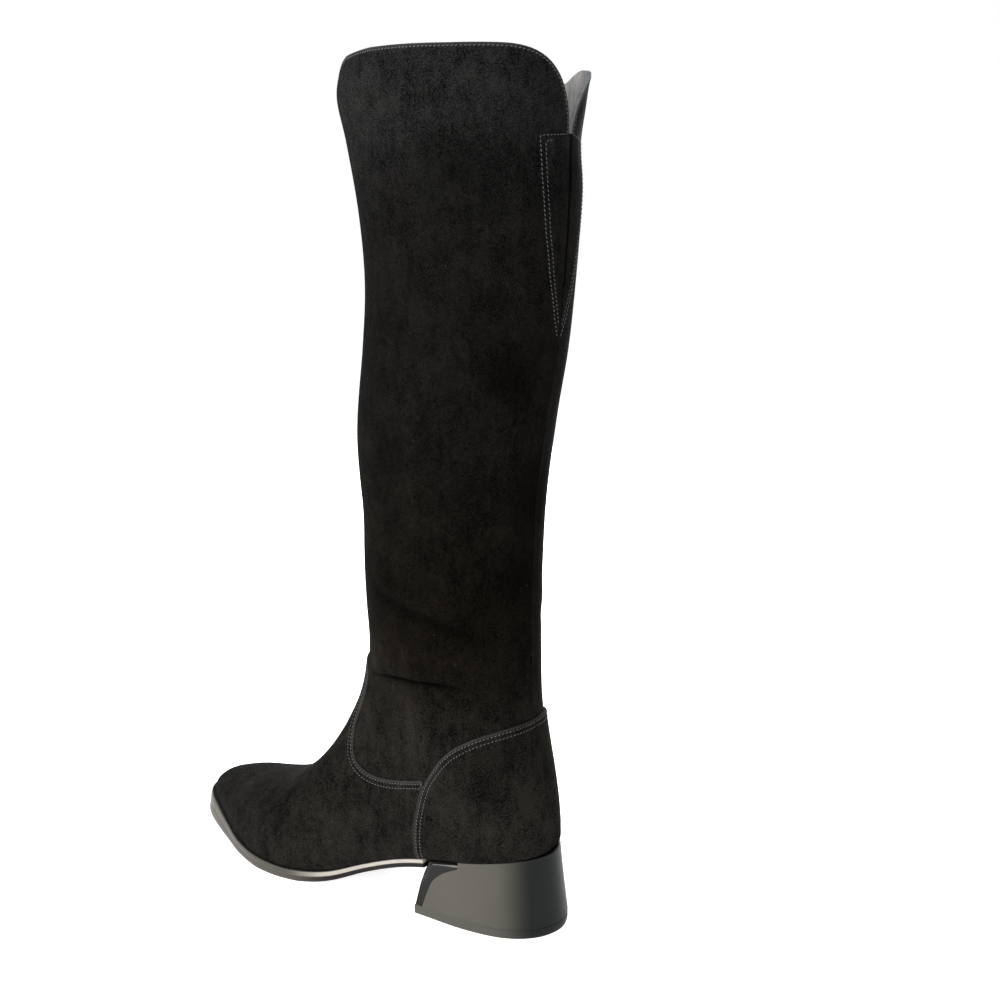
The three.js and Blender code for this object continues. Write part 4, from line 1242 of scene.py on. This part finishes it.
def heelPoint(turn, down, inward):
    outer = turn <= 0.5
    u = np.where(outer, heel["breast"] + (heelRow - heel["breast"]) * turn * 2,
                 heelRow - (heelRow - heel["breast"]) * (turn * 2 - 1))
    seat = seatEdge(u, outer)
    lowX, highX = seatAll[:, 0].min(), seatAll[:, 0].max()
    baseX = heel["back"] + (seat[..., 0] - lowX) / (highX - lowX) * (heel["front"] - heel["back"])
    baseY = seat[..., 1] * heel["half"] / seatAll[:, 1].max()
    spread = np.clip(down, 0, 1) ** heel["flare"]
    topZ = blendRows("bottomZ", np.minimum(u, heelRow - 1e-9)) - heel["gap"]
    place = np.stack([
        seat[..., 0] + (baseX - seat[..., 0]) * spread,
        seat[..., 1] + (baseY - seat[..., 1]) * spread,
        topZ + (heel["tip"] + heel["gap"] - topZ) * down,
    ], -1)
    return place - planNormal(np.minimum(u, heelRow), outer) * np.asarray(inward)[..., None]


# Turns set close where the outline bends round the back
evenTurns = np.linspace(-1, 1, heel["columns"] + 1)
heelPlaces = 0.5 + 0.5 * np.sign(evenTurns) * np.abs(evenTurns) ** heel["bunching"]


def closedBlock(loops):
    rows, columns = loops.shape[:2]
    faces = stripFaces(rows, columns, True)
    for row, turned in ((0, True), (rows - 1, False)):
        base = row * columns
        for k in range(columns // 2 - 1):
            quad = (base + k, base + k + 1, base + columns - 2 - k, base + columns - 1 - k)
            faces.append(quad[::-1] if turned else quad)
    return loops.reshape(-1, 3), [face[::-1] for face in faces]


# The bare front corner of the core, rounded at its front and under the seat
def roundedCore(down, inward):
    flat = heelPoint(heelPlaces, down, inward)
    top = heelPoint(heelPlaces, np.zeros(len(heelPlaces)), inward)
    radius = heel["round"]
    ahead = np.clip(flat[:, 0] - (flat[:, 0].max() - radius), 0, radius)
    ahead = ahead * smoothStep(flat[:, 2], *heel["fadeDown"])
    above = np.clip(flat[:, 2] - (top[:, 2] - radius), 0, radius)
    above = above * smoothStep(flat[:, 0], *heel["roundFrom"])
    reach = np.minimum(np.hypot(ahead, above), radius)
    return heelPoint(heelPlaces, down, inward + radius - np.sqrt(radius**2 - reach**2))


# Painted shade: the finish is painted blacker round the back than on the greyer sides, standing in for the
# shade there
def paintedBackShade(turn):
    return smoothStep(np.minimum(turn, 1 - turn), *heel["paintedShadeTurns"])


def makeHeel():
    ones = np.ones(len(heelPlaces))
    downs = np.linspace(0, 1, heel["levels"] + 1)
    inward = heel["cover"] + heel["gap"] - 0.25
    core = np.stack([roundedCore(np.full(len(heelPlaces), d), ones * inward) for d in downs])
    points, faces = closedBlock(core[:, :-1] if core.shape[1] % 2 else core)
    addMesh("heelBlock", points, faces, [heelGloss], "boot", ["heel_core"], sharp=38)
    data, tris = gridSheet(downs, heelPlaces)
    bare = heelPoint(data[:, 1], data[:, 0], np.zeros(len(data)))
    edge = splinePoints(heel["coverEdge"], 200)
    edge = np.concatenate([np.linspace(heel["coverTop"], heel["coverEdge"][0], 30)[:-1], edge])
    places = bare[:, [0, 2]]
    inside = polygonInside(places, np.concatenate([edge, np.array([(-40.0, 3.0), (-40.0, 52.0)])]))
    gap = nearestSample(places, edge)[0]
    data = np.column_stack([data, np.where(inside, gap, -gap)])
    data, tris = cutAt(data, tris, 2)
    data, tris = splitLevels(data, tris, 2, heel["bevelLines"])
    share = np.clip(data[:, 2] / heel["bevel"], 0, 1)
    inset = heel["bevel"] * 0.6 * (1 - np.sqrt(1 - (1 - share) ** 2))
    outer = heelPoint(data[:, 1], data[:, 0], inset)
    inner = heelPoint(data[:, 1], data[:, 0], np.full(len(data), heel["cover"] + 0.2))
    points, faces, _, first = thickSheet(outer, inner, tris)
    # Painted shade round the back of the cover and the tip
    back = np.tile(paintedBackShade(data[first, 1]), 2)
    addMesh("heelCover", points, faces[:, ::-1], [heelSatin], "boot", ["heel_cover"],
            layers={"back": back}, sharp=50)
    rows = []
    for z, inset in heel["tipEdge"]:
        loop = heelPoint(heelPlaces, ones, ones * inset)
        loop[:, 2] = z
        rows.append(loop)
    tip = np.stack(rows)
    columns = tip.shape[1] - tip.shape[1] % 2
    points, faces = closedBlock(tip[:, :columns])
    back = np.tile(paintedBackShade(heelPlaces[:columns]), len(rows))
    addMesh("heelTip", points, faces, [tipFinish], "boot", ["heel_tip"],
            layers={"back": back}, sharp=38)


makeHeel()
print("sole and heel made")


def bisected(low, high, isShort):
    for _ in range(40):
        middle = (low + high) / 2
        short = isShort(middle)
        low, high = np.where(short, middle, low), np.where(short, high, middle)
    return low


# Places beside the zip's line, found on the last from the side view
def sidePlace(x, z):
    def ahead(u):
        s = {key: blendRows(key, u) for key in ("bottomX", "bottomZ", "crownX", "crownZ")}
        dx, dz = s["bottomX"] - s["crownX"], s["bottomZ"] - s["crownZ"]
        return dx * (z - s["crownZ"]) - dz * (x - s["crownX"])

    low, high = np.full(np.shape(x), 8.0), np.full(np.shape(x), collarRow + 0.5)
    start = np.sign(ahead(low))
    low = bisected(low, high, lambda middle: np.sign(ahead(middle)) == start)
    s = {key: blendRows(key, low) for key in ("bottomX", "bottomZ", "crownX", "crownZ", "widest")}
    dx, dz = s["bottomX"] - s["crownX"], s["bottomZ"] - s["crownZ"]
    along = ((x - s["crownX"]) * dx + (z - s["crownZ"]) * dz) / (dx**2 + dz**2)
    share = last["crownShare"]
    top = share * np.arccos(np.clip(1 - along / s["widest"], -1, 1))
    below = np.arcsin(np.clip((along - s["widest"]) / (1 - s["widest"]), -1, 1))
    side = share * math.pi / 2 + (1 - share) * below
    return low, np.where(along < s["widest"], top, side) / (math.pi / 2)


def besideZip(share, across, outward):
    share, across, outward = [np.asarray(v, float) for v in np.broadcast_arrays(share, across, outward)]
    spot = np.stack([np.interp(share, zipShare, zipTrack[:, k]) for k in range(2)], -1)
    slope = np.gradient(zipTrack, axis=0)
    along = unit(np.stack([np.interp(share, zipShare, slope[:, k]) for k in range(2)], -1))
    u, down = sidePlace(spot[..., 0] - along[..., 1] * across, spot[..., 1] + along[..., 0] * across)
    return skinPoint(np.minimum(u, collarRow), 0.5 + down / 2, outward)


# Zip: woven tape, two rows of nylon coil, slider with its bridge, and the pull tab
zipSizes = {
    "tapeHalf": 8.5,
    "tapeThick": 0.8,
    "tapeBehind": 1.0,
    "tapeFrom": 0.004,
    "rows": 180,
    "columns": 14,
    "chainFrom": 0.056,
    "chainTo": 0.965,
    "pitch": 1.45,
    "toothLength": 3.0,
    "toothWidth": 1.0,
    "toothHeight": 1.5,
    "toothOut": -0.95,
    "toothReach": 1.2,
    "toothLean": 0.0004,
    "toothDip": 0.15,
    "sliderAt": 0.036,
}


def makeZip():
    face = -last["wall"] - zipSizes["tapeBehind"]
    share = np.linspace(zipSizes["tapeFrom"], 1, zipSizes["rows"])[:, None]
    across = zipSizes["tapeHalf"] * np.linspace(-1, 1, zipSizes["columns"] + 1)[None]
    outer, inner = besideZip(share, across, face), besideZip(share, across, face - zipSizes["tapeThick"])
    points, faces = solidStrip(outer, inner)
    addMesh("zipTape", points, faces, [tapeWeave], "boot", ["zip_tape"])
    chain = zipSizes["chainTo"] - zipSizes["chainFrom"]
    count = int(zipWay[-1] * chain / zipSizes["pitch"])
    lean, out = zipSizes["toothLean"], zipSizes["toothOut"]
    middles, alongs, normals = [], [], []
    for side in (-1, 1):
        stops = zipSizes["chainFrom"] + (np.arange(count) + 0.25 + side * 0.25) / count * chain
        reach = side * zipSizes["toothLength"] / 2
        near = besideZip(stops - lean, reach - side * zipSizes["toothReach"], out)
        far = besideZip(stops + lean, reach + side * zipSizes["toothReach"], out - zipSizes["toothDip"])
        middles.append((near + far) / 2)
        alongs.append(far - near)
        normals.append(besideZip(stops, reach, 1.0) - besideZip(stops, reach, 0.0))
    middles, alongs, normals = [np.concatenate(group) for group in (middles, alongs, normals)]
    sizes = zipSizes["toothLength"] + 0.3, zipSizes["toothWidth"], zipSizes["toothHeight"]
    points, faces = capsules(middles, alongs, unit(normals), *sizes)
    addMesh("zipCoil", points, faces, [coilNylon], "boot", ["zip_chain"], sharp=70)


makeZip()

slider = {
    "topHalf": 4.2, "lowHalf": 3.1, "shoulder": 4, "crest": 6.5, "down": 6,
    "inside": 1.2, "outside": 1.4, "bevel": 0.4,
}
bridge = {
    "half": 1.2, "post": 1.2, "reach": 3.5, "opening": 2.7,
    "bar": 1.2, "chamfer": 1, "sunk": 0.5, "bevel": 0.28,
}
tab = {
    "thick": 1.5, "eyeTop": 0.95, "eyeHalf": 2.9, "eyeEnd": -6,
    "windowHalf": 1.65, "windowTop": -0.95, "windowEnd": -5.1,
    "neckAt": -8, "neckHalf": 2.3, "flankAt": -14, "wideAt": -23, "wideHalf": 4.8,
    "bevel": 0.32, "rim": 0.8, "facePlate": 0.95, "plateBevel": 0.1, "wellFrom": 5,
}


# A flat plate with rounded edges, from an outline and its holes
def plate(outlines, thick, bevel):
    curve = bpy.data.curves.new("plateOutline", "CURVE")
    curve.dimensions = "2D"
    curve.fill_mode = "BOTH"
    curve.extrude = thick / 2 - bevel
    curve.bevel_depth = bevel
    curve.bevel_resolution = 2
    curve.offset = -bevel
    for outline in outlines:
        spline = curve.splines.new("POLY")
        spline.points.add(len(outline) - 1)
        for point, (x, y) in zip(spline.points, outline):
            point.co = (x, y, 0, 1)
        spline.use_cyclic_u = True
    holder = bpy.data.objects.new("plateOutline", curve)
    scene.collection.objects.link(holder)
    bpy.context.view_layer.update()
    mesh = bpy.data.meshes.new_from_object(holder.evaluated_get(bpy.context.evaluated_depsgraph_get()))
    points = np.array([vertex.co[:] for vertex in mesh.vertices])
    faces = [tuple(polygon.vertices) for polygon in mesh.polygons]
    bpy.data.objects.remove(holder)
    bpy.data.curves.remove(curve)
    bpy.data.meshes.remove(mesh)
    return points, faces


def joined(plates):
    points, faces, base = [], [], 0
    for spots, made in plates:
        points.append(spots)
        faces += [tuple(corner + base for corner in face) for face in made]
        base += len(spots)
    return np.concatenate(points), faces


def bezier(a, b, c, d, count=16):
    t = np.linspace(0, 1, count)[:, None]
    a, b, c, d = [np.array(point, float) for point in (a, b, c, d)]
    return a * (1 - t) ** 3 + 3 * b * t * (1 - t) ** 2 + 3 * c * t**2 * (1 - t) + d * t**3


def tabOutline(inset):
    half, end = tab["wideHalf"] - inset, tab["wideAt"]
    eye, neck = (-tab["eyeHalf"] + inset, tab["eyeEnd"]), (-tab["neckHalf"] + inset, tab["neckAt"])
    left = bezier(eye, neck, (-half, tab["flankAt"]), (-half, end))
    turn = np.linspace(math.pi, 2 * math.pi, 28)
    arc = np.stack([half * np.cos(turn), end + half * np.sin(turn)], 1)
    right = left[::-1] * np.array([-1, 1])
    return left, arc, right


def makeSliderAndTab():
    at = zipSizes["sliderAt"]
    origin = besideZip(at, 0.0, 0.0)
    out = besideZip(at, 0.0, 1.0) - origin
    out = unit(np.array([out[0], out[1], 0.0]))
    up = np.array([0.0, 0, 1])
    across = np.cross(up, out)
    turn = np.stack([across, up, out])
    place = lambda points: points @ turn + origin
    half, low = slider["topHalf"], slider["lowHalf"]
    t = np.linspace(0, 1, 14)[:, None]
    right, left = np.array([half, slider["shoulder"]]), np.array([-half, slider["shoulder"]])
    crest = right * (1 - t) ** 2 + 2 * t * (1 - t) * np.array([0, slider["crest"]]) + left * t**2
    foot = [(-low, -slider["down"]), (low, -slider["down"]), (half, 0)]
    body = np.concatenate([foot, crest, [(-half, 0)]])
    points, faces = plate([body], slider["inside"] + slider["outside"], slider["bevel"])
    base = (points + np.array([0, 0, (slider["outside"] - slider["inside"]) / 2]), faces)
    under = slider["outside"] + bridge["opening"]
    top = under + bridge["bar"]
    reach, inner = bridge["reach"], bridge["reach"] - bridge["post"]
    sunk = slider["outside"] - bridge["sunk"]
    chamfer = bridge["chamfer"]
    arch = [
        (-reach, sunk), (-inner, sunk), (-inner, under), (inner, under), (inner, sunk), (reach, sunk),
        (reach, top - chamfer), (reach - chamfer, top), (chamfer - reach, top), (-reach, top - chamfer),
    ]
    points, faces = plate([arch], 2 * bridge["half"], bridge["bevel"])
    bail = (np.stack([points[:, 2], points[:, 0], points[:, 1]], 1), faces)
    points, faces = joined([base, bail])
    addMesh("zipSlider", place(points), faces, [silver], "boot", ["zip_slider"], sharp=35)
    left, arc, right = tabOutline(0)
    eye = tab["eyeHalf"]
    outline = np.concatenate([[(-eye, tab["eyeTop"])], left, arc[1:-1], right, [(eye, tab["eyeTop"])]])
    wide, high, low = tab["windowHalf"], tab["windowTop"], tab["windowEnd"]
    window = [(-wide, high), (wide, high), (wide, low), (-wide, low)]
    leftIn, arcIn, rightIn = tabOutline(tab["rim"])
    start = tab["wellFrom"]
    well = np.concatenate([leftIn[start:], arcIn[1:-1], rightIn[:-start]])
    rim = plate([outline, window, well], tab["thick"], tab["bevel"])
    leftMid, arcMid, rightMid = tabOutline(tab["rim"] / 2)
    face = np.concatenate([leftMid[start - 2:], arcMid[1:-1], rightMid[:2 - start]])
    points, faces = joined([rim, plate([face], tab["facePlate"], tab["plateBevel"])])
    points = place(points + np.array([0, 0, slider["outside"] + bridge["opening"] / 2]))
    addMesh("pullTab", points, faces, [silver], "pull_tab", ["zip_pull_tab"], sharp=35)


makeSliderAndTab()
print("zip made")


# Elastic gore behind the slit, with fine upright ribs
def backPlace(y, z):
    low, high = np.full(np.shape(y), float(heelRow)), np.full(np.shape(y), float(collarRow))
    u = bisected(low, high, lambda middle: blendRows("bottomZ", middle) < z)
    near, far = np.zeros(np.shape(y)), np.full(np.shape(y), 0.25)
    near = bisected(near, far, lambda middle: lastPoint(u, middle)[..., 1] < np.abs(y))
    return u, np.where(y < 0, 1 - near, near)


def makeGore():
    share = np.linspace(0, 1, 50)[:, None]
    half = gore["endHalf"] + (gore["topHalf"] - gore["endHalf"]) * share
    across = np.linspace(-1, 1, 97)[None]
    y = half * across
    crest = gore["top"] + gore["tilt"] * (1 - np.abs(across))
    z = gore["end"] + (crest - gore["end"]) * share
    u, v = backPlace(y, z)
    ribs = gore["ribs"] * np.cos(2 * math.pi * gore["topHalf"] * across / gore["ribPitch"]) + 0 * share
    front = -last["wall"] - gore["behind"]
    outer = skinPoint(u, v, front - gore["ribs"] + ribs)
    points, faces = solidStrip(outer, skinPoint(u, v, front - gore["thick"]))
    addMesh("goreElastic", points, faces, [elastic], "boot", ["back_gore"])


makeGore()
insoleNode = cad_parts["insole"]
insoleNode.data.materials.clear()
insoleNode.data.materials.append(insoleLeather)
print("gore and insole made")

# Studio: a pale floor, a bright room and soft lamps around the boot
studio = {
    "room": 0.26,
    "floorGlow": 0.92,
    "floorSize": 30.0,
    "lamps": [  # place and aim in metres, size, watts
        ("topLamp", (0.3, 0.5, 2.2), (0, 0, 0), 2.2, 12),
        ("sideLamp", (0.72, 1.6, 0.6), (0, 0, 0.15), 0.9, 46),
        ("toeLamp", (1.7, 0.7, 0.6), (0.06, 0, 0.15), 0.9, 8),
        ("innerLamp", (0.5, -1.6, 0.7), (0, 0, 0.2), 1.0, 44),
        ("backLamp", (-1.5, 0.5, 0.7), (-0.08, 0, 0.2), 0.9, 9),
    ],
}


def makeStudio():
    room = Finish("brightRoom", world=True)
    seen = room.node("ShaderNodeLightPath", out="Is Camera Ray")
    level = room.node("ShaderNodeMix", None, {0: seen, 2: studio["room"], 3: 1.0})
    scene.world = room.done(Color=(1, 1, 1), Strength=level)
    finish = Finish("paleFloor")
    cloud = finish.noise(300, 2)
    colour = finish.mix(cloud, (0.9, 0.9, 0.9), (0.94, 0.94, 0.94))
    paint = finish.done(
        Base_Color=colour, Roughness=0.8 + 0.1 * (cloud - 0.5),
        Emission_Color=colour, Emission_Strength=studio["floorGlow"],
    )
    half = studio["floorSize"] / 2
    mesh = bpy.data.meshes.new("studioFloor")
    corners = [(-half, -half, 0), (half, -half, 0), (half, half, 0), (-half, half, 0)]
    mesh.from_pydata(corners, [], [(0, 1, 2, 3)])
    mesh.materials.append(paint)
    floor = bpy.data.objects.new("studioFloor", mesh)
    scene.collection.objects.link(floor)
    for name, place, aim, size, watts in studio["lamps"]:
        lamp = bpy.data.lights.new(name, "AREA")
        lamp.size = size
        lamp.energy = watts
        holder = bpy.data.objects.new(name, lamp)
        holder.location = place
        holder.rotation_euler = (Vector(place) - Vector(aim)).to_track_quat("Z", "Y").to_euler()
        scene.collection.objects.link(holder)
    scene.view_settings.view_transform = "Standard"


makeStudio()
print("studio lit")
